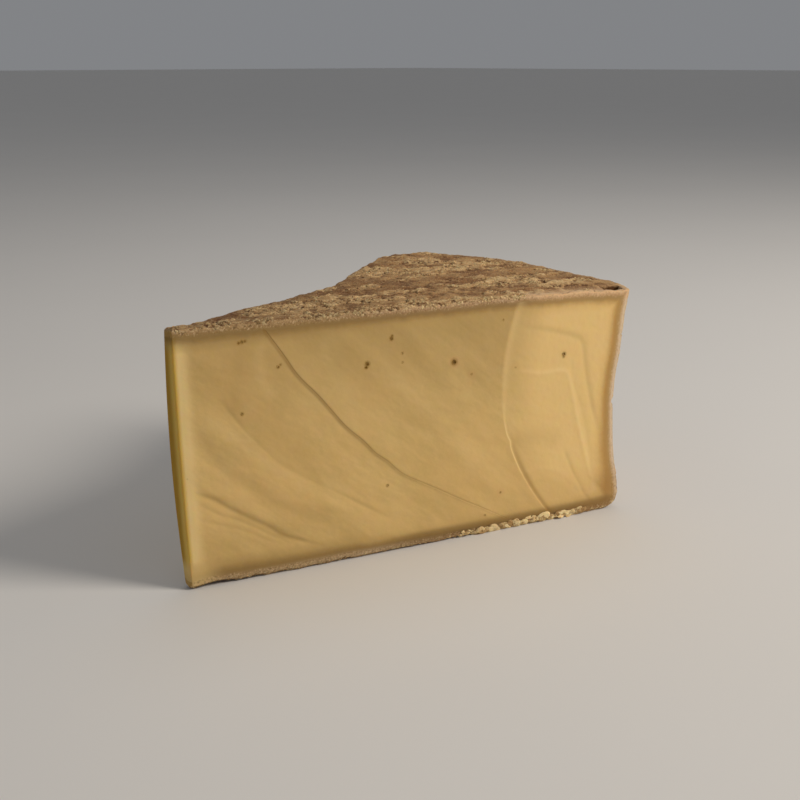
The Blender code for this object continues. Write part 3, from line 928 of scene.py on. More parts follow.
def eyePlaces(*frontKinds):
    # each eye's middle, radius and redness: those of the front cut, then those of the back cut
    found = [(frontPoint, eye) for kind in frontKinds for eye in eyes[kind]]
    found += [(backPoint, eye) for eye in eyes["back"]]
    return [(pointAt(s * mm, z * mm, eyes["sink"] * radius * mm), radius, red)
            for pointAt, (s, z, radius, red) in found]


def cutterFrom(name, bm):
    for vertex in bm.verts:
        vertex.co = Vector(toPartFrame(np.array(vertex.co)))
    bmesh.ops.triangulate(bm, faces=bm.faces)
    bmesh.ops.recalc_face_normals(bm, faces=bm.faces)
    mesh = bpy.data.meshes.new(name)
    bm.to_mesh(mesh)
    bm.free()
    return newPiece(name, mesh)


def crackCutter():
    # a three-sided bar along the crack, with one edge sunk into the paste, and thinner at its ends
    line = smoothCurve(crack["points"])
    heading = np.gradient(line, axis=0)
    heading /= np.linalg.norm(heading, axis=1)[:, None]
    aside = np.stack([-heading[:, 1], heading[:, 0]], -1)
    share = np.linspace(0, 1, len(line))
    size = np.clip(crack["endSize"] + 1.9 * np.sin(math.pi * share) ** 0.7, 0, 1)
    size = size * (0.9 + 0.2 * np.sin(37 * share)) * (1 - crack["narrowing"] * share)
    surface = -frontRelief(line[:, 0], line[:, 1])
    bm = bmesh.new()
    rings = []
    for place, side, level, scale in zip(line, aside, surface, size):
        half, depth = 1.5 * crack["width"] * scale, crack["depth"] * scale
        corners = ((*(place + side * half), level - 2 * depth), (*place, level + depth),
                   (*(place - side * half), level - 2 * depth))
        rings.append([bm.verts.new((s, n, z)) for s, z, n in corners])
    for ring, following in zip(rings, rings[1:]):
        for corner in range(3):
            other = (corner + 1) % 3
            bm.faces.new((ring[corner], ring[other], following[other], following[corner]))
    bm.faces.new(rings[0])
    bm.faces.new(rings[-1])
    return cutterFrom("crackCutter", bm)


def eyeCutter():
    bm = bmesh.new()
    for number, (centre, radius, red) in enumerate(eyePlaces("front")):
        made = bmesh.ops.create_icosphere(bm, subdivisions=2, radius=radius * mm)
        for vertex in made["verts"]:
            dice = noise.noise(vertex.co / eyes["unevenSize"] + Vector((number, 0, 0)))
            vertex.co *= 1 + eyes["uneven"] * dice
        bmesh.ops.translate(bm, verts=made["verts"], vec=centre)
    return cutterFrom("eyeCutter", bm)


def footThinner(s):
    # depth under the foot's skin counts for less where its rind is thicker
    thick = section["footRindDepth"] * (1 - smoothStep(*section["footRindThins"], s))
    return section["rindDepth"] / np.maximum(thick, section["rindDepth"])


def softLeast(first, second, soft):
    # the smaller of two depths, rounded over where they are alike
    return -soft * np.log(sum(np.exp(-np.clip(depth, -soft, section["deepInside"]) / soft)
                              for depth in (first, second)))


pasteZones = {
    "front": (2.5 * mm, 4.5 * mm),       # the front cut ends between these depths, and the back cut likewise
    "back": (6.0 * mm, 4.0 * mm),
    "noCrack": 30.0,
    "noBlade": 60.0,
    "noseSlant": 0.342,
    "noseTurn": (0.8 * mm, 5.5 * mm),
    "bowStart": 0.2 * mm,
    "underTop": (4.0 * mm, 9.0 * mm),
}


def pasteAttributes(mesh):
    s, n, z = toCutFrame(pointsOf(mesh))
    place = np.stack([s, n], -1)
    top, foot = topHeight(place) - z, z - footHeight(place, np.full(s.shape, 1.0))
    heel = rimDistance(place) - heelInset(z)
    corner = roundEdges[0][2]
    nearCorner = np.hypot(np.clip(corner - heel, 0, None), np.clip(corner - foot, 0, None))
    rounded = np.where((heel < corner) & (foot < corner), corner - nearCorner, np.minimum(heel, foot))
    # deeper down the bands turn the corner in a wider bow
    rounded = np.minimum(rounded, softLeast(heel, foot, section["cornerBow"]) + pasteZones["bowStart"])
    heelShare = smoothStep(-section["heelTurn"], section["heelTurn"], foot - heel)
    # the brown line fades more slowly at the heel than under the flat rinds
    slow = np.maximum(rounded / mm - section["heelRindDepth"], 0)
    for start, full in section["heelSlows"]:
        slow = slow * (1 - section["heelSlowsBy"] * smoothStep(start, full, z))
    heelDepth = section["rindDepth"] + slow
    sideDepth = rounded / mm * footThinner(s) * (1 - heelShare) + heelDepth * heelShare
    onFront = 1 - smoothStep(*pasteZones["front"], n)
    onBack = smoothStep(*pasteZones["back"], np.abs(nearestOn(backLine, s, n)[0])) * (1 - onFront)
    gap = nearestOn(smoothCurve(crack["points"]), s, z)[0]
    # the marks' tones: partly the paste's own, partly painted shade and painted light of their relief
    markShadesAndTones = markSum(knifeMarks, "tone", s, z) * onFront + markSum(backMarks, "tone", s, z) * onBack
    heelShare = heelShare * smoothStep(*pasteZones["underTop"], top) * smoothStep(*section["heelEnds"], heel)
    values = {
        "depth": np.minimum(top / mm, sideDepth),
        "crackGap": np.where(onFront > 0.5, gap / mm, pasteZones["noCrack"]),
        "bladeGap": np.where(onFront > 0.5, pastBlade(s, z) / mm, pasteZones["noBlade"]),
        "markShadeAndTone": markShadesAndTones,
        "noseGap": (s - noseLean(z) + pasteZones["noseSlant"] * n) / mm,
        "noseTurn": smoothStep(*pasteZones["noseTurn"], n),
        "heelShare": heelShare,
        "onFront": onFront,
    }
    for name, numbers in values.items():
        setAttribute(mesh, name, numbers)


def eyeStains(tree, place, colour):
    # brown in and round each hole, redder where the photo shows a blush; also gives where the stain lies
    wobble = vectorSum(tree, "ADD", noiseAt(tree, place, *eyes["wobble"])[1], (-0.5, -0.5, -0.5))
    place = vectorSum(tree, "ADD", place, scaled(tree, wobble, eyes["wobbleBy"]))
    shares = []
    for centre, radius, red in eyePlaces("front", "smears"):
        apart = vectorSum(tree, "DISTANCE", place, tuple(toPartFrame(np.array(centre))))
        smallest, largest, least = eyes["faint"]
        deep = min(max((radius - smallest) / (largest - smallest), least), 1.0)
        dark, near = ([radius * reach * mm for reach in eyes[kind]] for kind in ("core", "brown"))
        browned = eyes["brownShare"][0] + eyes["brownShare"][1] * deep
        shares.append((
            ramp(tree, apart, (radius + eyes["blushReach"]) * mm, radius * mm, 0.0, red * eyes["blushShare"]),
            ramp(tree, apart, *near, 0.0, browned),
            ramp(tree, apart, *dark, 0.0, deep),
        ))
    blush, brown, core = (greatest(tree, *kind) for kind in zip(*shares))
    for share, tone in zip((blush, brown, core), eyes["tints"]):
        colour = blendColour(tree, share, colour, tone)
    return colour, greatest(tree, core, brown)


pasteLook = {
    "shader": {
        "Roughness": 0.46,
        "Specular IOR Level": 0.3,
        "Subsurface Weight": 1.0,
        "Subsurface Radius": (1.0, 0.62, 0.28),
        "Subsurface Scale": 0.0015,
    },
    # fresher past the blade's line at once, and more so further on
    "fresh": ((-0.8, 1.6, 0.0, 0.28), (0.5, 30.0, 0.0, 0.7)),
    "highUp": (55.0, 130.0, 0.0, 0.28),
    "highAlong": (0.0, 90.0, 0.5, 1.0),
    "nearRind": (42.0, 4.0, 0.0, 0.10),
    "under": (
        (tint(236, 203, 138), 1.0, ("fresh",)),
        (tint(150, 122, 70), 1.0, ("shade",)),
        (tint(196, 156, 92), 0.35, ("height", 40.0, 8.0), ("fresh",)),
        # a painted glow along the thin nose's front edge, standing in for light shining through it
        (tint(244, 218, 156), 0.8, ("noseGap", 11.0, 2.5), ("onFront",)),
    ),
    # the old cut at the nose has dried to amber, paler on its front side; the darker amber on the nose face,
    # which is turned from the light, is partly painted shade
    "amber": (tint(217, 181, 94), tint(173, 134, 58)),
    "amberEnds": (2.6, 0.6),
    "marks": (
        # the marks' tones: partly the paste's own, partly painted shade and painted light of their relief
        (tint(160, 124, 62), 0.8, ("markShadeAndTone", 0.0, -1.0)),
        (tint(252, 226, 168), 0.8, ("markShadeAndTone", 0.0, 1.0)),
    ),
    "crackShadeTint": tint(142, 104, 42),
    "crackSides": ((0.9, 0.1), (-2.2, -0.4)),
    "crackFades": (80.0, 170.0, 1.0, 0.15),
    # beside the blade's line: a painted shadow low down, a paler band high up, and a painted highlight along
    # its edge
    "bladeShadeHighlightAndTone": (
        (tint(170, 128, 62), 0.48, ("bladeGap", 0.5, 1.4), ("bladeGap", 6.5, 1.2), ("height", 66.0, 36.0)),
        (tint(246, 216, 156), 0.24, ("bladeGap", -1.2, 2.4), ("bladeGap", 8.0, 2.0), ("height", 60.0, 105.0)),
        (tint(246, 222, 172), 0.27, ("bladeGap", -0.4, 0.2), ("bladeGap", 1.1, 0.4), ("height", 85.0, 58.0),
         ("height", 28.0, 48.0)),
    ),
    "spread": (4.3, 7.3, 0.15, 1.0),     # light spreads less in the rind
    "stainSpread": -0.8,
    "skin": (1.1 * mm, 3.0, 0.6),
    "wax": (6.0 * mm, 2.0, 0.5),
    "skinShare": 0.35,
    "bump": (0.4, 0.3 * mm),
    "roughness": (0.3, 0.7, 0.42, 0.56),
    "dullNose": (3.5, 1.0, 0.3, 0.0),
}


def pasteMaterial():
    look = pasteLook
    material, tree, shader, place = newMaterial("cheesePasteFinish", look["shader"])
    signals = read(tree, "onFront", "bladeGap", "noseGap", "noseTurn", "markShadeAndTone", "crackGap", "depth")
    signals["height"] = heightOf(tree, place)
    along = cutLength(tree, place)
    atOnce, furtherOn = (times(tree, ramp(tree, signals["bladeGap"], *zone), signals["onFront"])
                         for zone in look["fresh"])
    signals["fresh"] = sums(tree, "ADD", atOnce, furtherOn)
    # slowly darker upwards and towards the rind, on the older part
    high = times(tree, ramp(tree, signals["height"], *look["highUp"]), ramp(tree, along, *look["highAlong"]))
    shade = sums(tree, "ADD", high, ramp(tree, signals["depth"], *look["nearRind"]))
    signals["shade"] = times(tree, shade, less(tree, 1.0, signals["fresh"]))
    colour = stained(tree, pasteTone(tree, place), signals, look["under"])
    amber = blendColour(tree, signals["noseTurn"], *look["amber"])
    colour = blendColour(tree, ramp(tree, signals["noseGap"], *look["amberEnds"]), colour, amber)
    colour = sectionColour(tree, place, stained(tree, colour, signals, look["marks"]))
    # painted shade in the crack, reaching further onto the side that lies in the shade of its proud lip
    sides = [ramp(tree, signals["crackGap"], *zone) for zone in look["crackSides"]]
    crackShade = times(tree, *sides, crack["crackShade"], ramp(tree, along, *look["crackFades"]))
    colour = blendColour(tree, crackShade, colour, look["crackShadeTint"])
    colour = stained(tree, colour, signals, look["bladeShadeHighlightAndTone"])
    colour, eyeStain = eyeStains(tree, place, colour)
    tree.links.new(colour, shader.inputs["Base Color"])
    # stains and the painted crack shade stay crisp, because light doesn't spread under them
    crisp = sums(tree, "MULTIPLY_ADD", greatest(tree, crackShade, eyeStain), look["stainSpread"], 1.0)
    spread = times(tree, ramp(tree, signals["depth"], *look["spread"]), crisp)
    tree.links.new(spread, shader.inputs["Subsurface Weight"])
    wax = noiseAt(tree, place, *look["wax"])[0]
    uneven = sums(tree, "MULTIPLY_ADD", noiseAt(tree, place, *look["skin"])[0], look["skinShare"], wax)
    roughSkin(tree, shader, uneven, *look["bump"])
    tree.links.new(ramp(tree, wax, *look["roughness"]), shader.inputs["Roughness"])
    shine = times(tree, ramp(tree, signals["noseGap"], *look["dullNose"]), less(tree, 1.0, eyeStain))
    tree.links.new(shine, shader.inputs["Specular IOR Level"])
    return material


def makePaste():
    paste = newPiece("cheesePaste", pasteMesh())
    cutters = (crackCutter(), eyeCutter())
    for cutter in cutters:
        cut = paste.modifiers.new(cutter.name, "BOOLEAN")
        cut.operation = "DIFFERENCE"
        cut.solver = "EXACT"
        cut.object = cutter
    bakeModifiers(paste)
    for cutter in cutters:
        bpy.data.objects.remove(cutter)
    pasteAttributes(paste.data)
    paste.data.materials.clear()
    paste.data.materials.append(pasteMaterial())
    paste.data.shade_smooth()
    paste.data.set_sharp_from_angle(angle=math.radians(38))
    keepInBox(paste.data)
    print("paste:", len(paste.data.polygons), "faces")
    return paste


# The rind: a shell over the top, the heel and the foot, whose cut ends show as bands

rindShape = {
    "topCell": 0.9 * mm,
    "heelCell": 0.95 * mm,
    "footCell": 1.5 * mm,
    "acrossCell": 1.0 * mm,
    "widest": 172.0 * mm,
    "layers": np.array((0.0, 0.08, 0.22, 0.4, 0.6, 0.8, 1.0)),
    "keptTriangles": 192000,
    "rough": {"top": 1.0, "heel": 0.6, "foot": 0.45},     # how much of the crust's relief each side gets
    "sideReach": 2.4 * mm,
    "cutReach": 0.35 * mm,
    "cutFace": 0.25 * mm,
    "noseFace": 0.5 * mm,
    # where the crust is quieter: the top's front edge towards the heel, the rims and round the dent
    "calmFrom": (202.0 * mm, 212.0 * mm),
    "calmReach": 6.0 * mm,
    "calmBy": 0.8,
    "backRim": 5.0 * mm,
    "heelRim": 6.0 * mm,
    "rimsBy": 0.75,
    "dentReach": 11.0 * mm,
    "dentBy": 0.85,
    # and where it is ragged, along the top's front edge
    "raggedReach": 7.0 * mm,
    "raggedFrom": (30.0 * mm, 70.0 * mm),
    "raggedTo": (208.0 * mm, 196.0 * mm),
    "dentBelow": (0.9 * mm, 1.6 * mm),
    "dentWithin": (1.3, 1.5),
    "underTop": (3.0 * mm, 8.0 * mm),
    # a small chip in the heel's front edge
    "chipZ": 72.0 * mm,
    "chipDepth": 1.3 * mm,
    "chipHeight": 1.7 * mm,
    "chipReach": 5.0 * mm,
    "farthest": 40.0 * mm,
}

crust = {
    "Lump Size": 7.0 * mm,
    "Lump Height": 1.1 * mm,
    "Stretch": 2.2,               # patches, flakes and crevices run along the front cut
    "Patch Size": 24.0 * mm,      # crumbly patches on a smoother skin
    "Flake Size": 5.0 * mm,
    "Flake Height": 0.75 * mm,
    "Plate Size": 16.0 * mm,
    "Plate Height": 0.45 * mm,
    "Grain Size": 1.5 * mm,
    "Grain Height": 0.7 * mm,
    "Crevice Size": 11.0 * mm,
    "Crevice Depth": 1.4 * mm,
    "Pit Spacing": 9.0 * mm,
    "Pit Radius": 1.2 * mm,
    "Pit Depth": 1.0 * mm,
    "Cut Grain": 0.9 * mm,
    "Cut Roughness": 0.6 * mm,
}

# each noise by its detail, roughness and warp, and the heights of it between which a wall rises
crustKinds = {
    "lump": (2.0, 0.5),
    "patches": (4.0, 0.62, 0.3),
    "patchWall": (0.50, 0.55),
    "flakes": (5.0, 0.62, 0.4),
    "flakeWall": (0.50, 0.55),
    "edgeWall": (0.38, 0.50),         # flakes along the ragged front edge
    "plates": (5.0, 0.6, 0.5),
    "plateWall": (0.49, 0.505),
    "grain": (3.0, 0.65),
    "grainShare": (0.75, 0.25),       # more in the patches than beside them
    "pitSizes": (0.6, 1.0),
    "pitWall": (1.0, 0.35),
    "folds": (3.0, 0.6, 0.8),
    "creviceWall": (0.025, 0.002),
    "creviceNear": (0.44, 0.52),
    "cutGrain": (3.0, 0.7),
}


def rindPoint(turn, across, layer):
    # turn: 0 to 1 over the top to the heel, to 2 down the heel, to 3 back along the foot
    # layer: 0 at the skin, 1 at the paste
    shape = rindShape
    flat = section["rindDepth"] * mm / wheel["height"] * layer
    heel = section["heelRindDepth"] * mm / wedge["length"] * layer
    along = np.select([turn < 1, turn < 2], [turn * (1 - heel), 1 - heel], (3 - turn) * (1 - heel))
    up = np.select([turn < 1, turn < 2], [1 - flat, 1 - flat - (turn - 1) * (1 - 2 * flat)], flat)
    point, away, moves = wedgePoint(along, across, up)
    near = {side: bump(away[side], shape["sideReach"]) for side in shape["rough"]}
    out = -sum(near[side][:, None] * moves[side] for side in near)
    out /= np.maximum(np.linalg.norm(out, axis=1), 1e-6)[:, None]
    cutOut = -sum(bump(away[side], shape["cutReach"])[:, None] * moves[side] for side in ("front", "back"))
    share = sum(near[side] * shape["rough"][side] for side in near) / np.maximum(sum(near.values()), 1e-6)
    s, n, z = point.T
    outside = layer < 0.01
    inside = smoothStep(0.02, 0.12, layer)
    calm = smoothStep(*shape["calmFrom"], s) * bump(away["front"], shape["calmReach"]) * near["top"]
    heelRim = bump(away["heel"], shape["heelRim"]) * near["top"]
    rims = np.maximum(bump(away["back"], shape["backRim"]), heelRim)
    nearDent = bump(np.hypot(s - flatRinds["dentS"], n - flatRinds["dentN"]), shape["dentReach"])
    quiet = (1 - shape["calmBy"] * calm) * (1 - shape["rimsBy"] * rims) * (1 - shape["dentBy"] * nearDent)
    ragged = bump(away["front"], shape["raggedReach"])
    ragged = ragged * smoothStep(*shape["raggedFrom"], s) * smoothStep(*shape["raggedTo"], s)
    dented = smoothStep(*shape["dentBelow"], topSkin(point[:, :2]) - z)
    dented = dented * (1 - smoothStep(*shape["dentWithin"], dentReach(s, n)))
    heelShare = smoothStep(-section["heelTurn"], section["heelTurn"], away["foot"] - away["heel"])
    heelShare = heelShare * smoothStep(*shape["underTop"], away["top"])
    heelShare = heelShare * smoothStep(*section["heelEnds"], away["heel"])
    cutFace = np.max([bump(away[side], shape["cutFace"]) for side in ("front", "back", "nose")], axis=0)
    chip = shape["chipDepth"] * bump(z - shape["chipZ"], shape["chipHeight"])
    chip = chip * bump(away["front"], shape["chipReach"])
    point = point + (chip * near["heel"] * (1 - layer))[:, None] * moves["heel"]
    extra = {
        "skin": (1 - layer) ** 1.5 * share * quiet,
        "ragged": ragged * near["top"],
        "outward": turnToPart(out),
        "cutOutward": turnToPart(cutOut * (smoothStep(1, 0.8, layer) * (1 - 0.5 * calm))[:, None]),
        "depth": layer * section["rindDepth"] * np.where(turn > 2, footThinner(s), 1),
        "cutFace": cutFace * inside,
        "heelShare": heelShare,
        "noseFace": 0.75 * bump(away["nose"], shape["noseFace"]) * smoothStep(0.05, 0.45, layer),
        "topSide": near["top"],
        "heelSide": near["heel"] * outside,
        "footSide": near["foot"],
        "smoothEdge": calm * outside,
        "dent": dented * near["top"] * outside,
        "edgeGap": np.minimum(away["front"], shape["farthest"]) / mm,
        "backGap": np.minimum(away["back"], shape["farthest"]) / mm,
    }
    return toPartFrame(point), extra


def rindMesh():
    # the grid is finer at the edges, at the dent and behind the flaky front edge
    length, height, widest = wedge["length"], wheel["height"], rindShape["widest"]
    topFine = ((0, 0.25 * mm, 0.3), (length, 0.2 * mm, 0.2), (203.5 * mm, 0.4 * mm, 0.3),
               (flatRinds["dentS"], 0.45 * mm, 0.05))
    topLine = gridLines(length, rindShape["topCell"], topFine)
    heelLine = gridLines(height, rindShape["heelCell"], ((0, 0.2 * mm, 0.2), (height, 0.6 * mm, 0.1)))
    footLine = gridLines(length, rindShape["footCell"], ((0, 0.6 * mm, 0.1), (length, 0.3 * mm, 0.2)))
    turn = np.concatenate([topLine / length, 1 + heelLine[1:] / height, 2 + footLine[1:] / length])
    acrossFine = ((0, 0.3 * mm, 0.06), (10.6 * mm, 0.35 * mm, 0.15), (widest, 0.3 * mm, 0.1))
    across = gridLines(widest, rindShape["acrossCell"], acrossFine) / widest
    return boxMesh("cheeseRind", (turn, across, rindShape["layers"]), rindPoint)


def crustTree(sizes, kinds):
    tree, given = newTree("crustRelief", sizes)
    place = outOf(tree, "GeometryNodeInputPosition")
    skin = named(tree, "skin")
    drawn = drawnOut(tree, place, 0.0, given["Stretch"])
    lump = less(tree, noiseAt(tree, place, given["Lump Size"], *kinds["lump"])[0], 0.5)
    patches = noiseAt(tree, drawn, given["Patch Size"], *kinds["patches"])[0]
    flakes = noiseAt(tree, drawn, given["Flake Size"], *kinds["flakes"])[0]
    edge = times(tree, named(tree, "ragged"), ramp(tree, flakes, *kinds["edgeWall"]))
    patch = greatest(tree, ramp(tree, patches, *kinds["patchWall"]), edge)
    flake = times(tree, ramp(tree, flakes, *kinds["flakeWall"]), patch)
    plates = noiseAt(tree, place, given["Plate Size"], *kinds["plates"])[0]
    plate = ramp(tree, plates, *kinds["plateWall"])
    grain = less(tree, noiseAt(tree, place, given["Grain Size"], *kinds["grain"])[0], 0.5)
    grain = times(tree, grain, sums(tree, "MULTIPLY_ADD", patch, *kinds["grainShare"]))
    # round pits of many sizes, each in its own cell
    spacing = sums(tree, "DIVIDE", 1.0, given["Pit Spacing"])
    cells = addNode(tree, "ShaderNodeTexVoronoi", {"Vector": place, "Scale": spacing}).outputs
    chosen = outOf(tree, "ShaderNodeSeparateXYZ", {0: cells["Color"]})
    size = greatest(tree, times(tree, given["Pit Radius"], ramp(tree, chosen, *kinds["pitSizes"])), 1e-6)
    reach = times(tree, cells["Distance"], given["Pit Spacing"])
    pit = ramp(tree, sums(tree, "DIVIDE", reach, size), *kinds["pitWall"])
    # crevices run where the folds' noise crosses its middle, in and round the patches
    folds = noiseAt(tree, drawn, given["Crevice Size"], *kinds["folds"])[0]
    crevice = ramp(tree, sums(tree, "ABSOLUTE", less(tree, folds, 0.5)), *kinds["creviceWall"])
    crevice = times(tree, crevice, ramp(tree, patches, *kinds["creviceNear"]))
    height = times(tree, lump, given["Lump Height"])
    height = less(tree, height, times(tree, crevice, given["Crevice Depth"]))
    height = sums(tree, "MULTIPLY_ADD", less(tree, plate, 0.5), given["Plate Height"], height)
    height = sums(tree, "MULTIPLY_ADD", less(tree, flake, 0.3), given["Flake Height"], height)
    height = sums(tree, "MULTIPLY_ADD", grain, given["Grain Height"], height)
    height = less(tree, height, times(tree, pit, given["Pit Depth"]))
    move = scaled(tree, named(tree, "outward", "FLOAT_VECTOR"), times(tree, height, skin))
    cutGrain = less(tree, noiseAt(tree, place, given["Cut Grain"], *kinds["cutGrain"])[0], 0.55)
    cutMove = times(tree, cutGrain, given["Cut Roughness"])
    move = vectorSum(tree, "ADD", move, scaled(tree, named(tree, "cutOutward", "FLOAT_VECTOR"), cutMove))
    made = outOf(tree, "GeometryNodeSetPosition", {"Geometry": given["Geometry"], "Offset": move})
    onSkin = ramp(tree, skin, 0.0, 0.4)
    made = store(tree, made, "crust", times(tree, flake, onSkin))
    made = store(tree, made, "pit", greatest(tree, pit, crevice))
    made = store(tree, made, "patch", times(tree, patch, onSkin))
    made = store(tree, made, "level", sums(tree, "DIVIDE", height, mm))
    endTree(tree, made, given["Material"])
    return tree


rindLook = {
    "shader": {
        "Roughness": 0.86,
        "Specular IOR Level": 0.25,
        "Subsurface Weight": 0.25,
        "Subsurface Radius": (1.0, 0.6, 0.35),
        "Subsurface Scale": 0.0012,
    },
    "base": (tint(136, 99, 62), tint(166, 130, 86)),
    "broad": (20.0 * mm, 5.0, 0.66, 0.3),
    "broadShare": (0.40, 0.60),
    "small": (2.6 * mm, 4.0, 0.68),
    "speck": (1.0 * mm, 3.0, 0.7),
    "paintedLight": (40.0, 220.0, 0.78, 1.14),      # painted light: darker at the nose and paler towards the heel
    "backRim": (16.0, 4.0, 1.0, 0.86),
    "smallLevel": 1.8,
    "patches": ((tint(192, 158, 111), 0.65, ("patch",)),),
    "stainsAndShade": (
        # what lies low is darker and what stands up is paler: painted shade in the crust's hollows and
        # painted light on its rises, mixed with a random tone
        (tint(100, 64, 38), 0.7, ("level", -0.05, -0.65)),
        (tint(206, 174, 128), 0.5, ("level", 0.12, 0.65)),
        (tint(214, 183, 133), 1.0, ("crust",), ("small", 0.40, 0.58, 0.15, 0.8)),
        (tint(96, 66, 36), 0.6, ("speck", 0.47, 0.32)),
        (tint(208, 176, 128), 0.45, ("speck", 0.54, 0.68)),
        # the heel's skin and the top's front edge are pale; the pits, crevices and the dent are darkened as
        # painted shade
        (tint(216, 188, 150), 1.0, ("heelSide",), ("edgeGap", 2.0, 14.0, 0.75, 0.36)),
        (tint(214, 180, 140), 0.8, ("smoothEdge",)),
        (tint(84, 48, 26), 0.75, ("pit",)),
        (tint(84, 50, 14), 0.97, ("dent", 0.0, 0.6)),
    ),
    # the rind's cut at the nose takes the same amber, partly painted shade
    "noseFace": tint(176, 138, 70),
    "smallShare": 0.8,
    "bump": (0.6, 0.5 * mm),
}


def paintedLightAlong(tree, place):
    return ramp(tree, cutLength(tree, place), *rindLook["paintedLight"])


def rindMaterial():
    look = rindLook
    material, tree, shader, place = newMaterial("cheeseRindFinish", look["shader"])
    signals = read(tree, "patch", "backGap", "level", "crust", "heelSide", "edgeGap", "smoothEdge", "pit",
                   "dent", "noseFace", "cutFace")
    signals["small"] = noiseAt(tree, place, *look["small"])[0]
    signals["speck"] = noiseAt(tree, place, *look["speck"])[0]
    broad = noiseAt(tree, drawnOut(tree, place, 0.0, crust["Stretch"]), *look["broad"])[0]
    colour = blendColour(tree, ramp(tree, broad, *look["broadShare"]), *look["base"])
    colour = stained(tree, colour, signals, look["patches"])
    rimShade = ramp(tree, signals["backGap"], *look["backRim"])
    # painted light along the cut: darker at the nose, paler towards the heel
    colour = scaled(tree, scaled(tree, colour, paintedLightAlong(tree, place)), rimShade)
    unevenness = less(tree, signals["small"], 0.5)
    signals["level"] = sums(tree, "MULTIPLY_ADD", unevenness, look["smallLevel"], signals["level"])
    colour = stained(tree, colour, signals, look["stainsAndShade"])
    cut = sectionColour(tree, place, pasteTone(tree, place))
    cut = blendColour(tree, signals["noseFace"], cut, look["noseFace"])
    colour = blendColour(tree, signals["cutFace"], colour, cut)
    tree.links.new(colour, shader.inputs["Base Color"])
    uneven = sums(tree, "MULTIPLY_ADD", signals["small"], look["smallShare"], signals["speck"])
    roughSkin(tree, shader, uneven, *look["bump"])
    return material


def makeRind():
    mesh, extra = rindMesh()
    for name, values in extra.items():
        setAttribute(mesh, name, values)
    rind = newPiece("cheeseRind", mesh)
    print("rind grid:", len(mesh.polygons), "faces")
    runTree(rind, crustTree(crust, crustKinds), {**crust, "Material": rindMaterial()})
    thin = rind.modifiers.new("thinOut", "DECIMATE")
    thin.ratio = rindShape["keptTriangles"] / (2 * len(mesh.polygons))
    bakeModifiers(rind)
    rind.data.shade_smooth()
    rind.data.set_sharp_from_angle(angle=math.radians(60))
    keepInBox(rind.data)
    print("rind:", len(rind.data.polygons), "faces")
    return rind


# Crumbs and flakes of crust, scattered by the weights that the rind carries

crumbKinds = {
    "crustFlakes": {
        "Density": 3.2e6, "Smallest": 0.3 * mm, "Largest": 1.5 * mm, "Flatness": 0.4, "Ragged": 0.3,
        "Stretch": 1.3, "Spin": 2.0, "Rounds": 1, "Seed": 11,
        "dark": tint(140, 106, 66), "light": tint(216, 186, 137),
    },
    "rindGrains": {
        "Density": 2.2e5, "Smallest": 0.3 * mm, "Largest": 0.9 * mm, "Flatness": 0.6, "Ragged": 0.35,
        "Stretch": 1.0, "Spin": math.tau, "Rounds": 1, "Seed": 23,
        "dark": tint(134, 102, 62), "light": tint(196, 163, 112),
    },
    "edgeCrumbs": {
        "Density": 4.0e6, "Smallest": 0.35 * mm, "Largest": 1.6 * mm, "Flatness": 0.5, "Ragged": 0.3,
        "Stretch": 1.3, "Spin": 2.0, "Rounds": 1, "Seed": 37,
        "dark": tint(150, 119, 76), "light": tint(220, 190, 140),
    },
    "footFlakes": {
        "Density": 1.7e6, "Smallest": 1.2 * mm, "Largest": 4.4 * mm, "Flatness": 0.4, "Ragged": 0.46,
        "Stretch": 1.5, "Spin": 1.2, "Rounds": 2, "Seed": 52,
        "dark": tint(160, 126, 80), "light": tint(232, 204, 152),
    },
}


crumbShape = {
    "smallness": 2.0,                                # the higher, the fewer large ones
    "sides": ((0.7, 0.7, 0.8), (1.4, 1.1, 1.2)),
    "tearSize": 1.3,                                 # in the size of the smallest
    "tear": (2.0, 0.6),
}


def randomValue(tree, low, high, seed):
    if isinstance(low, tuple):
        inputs = {0: low, 1: high, "Seed": seed}
        return outOf(tree, "FunctionNodeRandomValue", inputs, data_type="FLOAT_VECTOR")
    inputs = {2: low, 3: high, "Seed": seed}
    return addNode(tree, "FunctionNodeRandomValue", inputs, data_type="FLOAT").outputs[1]


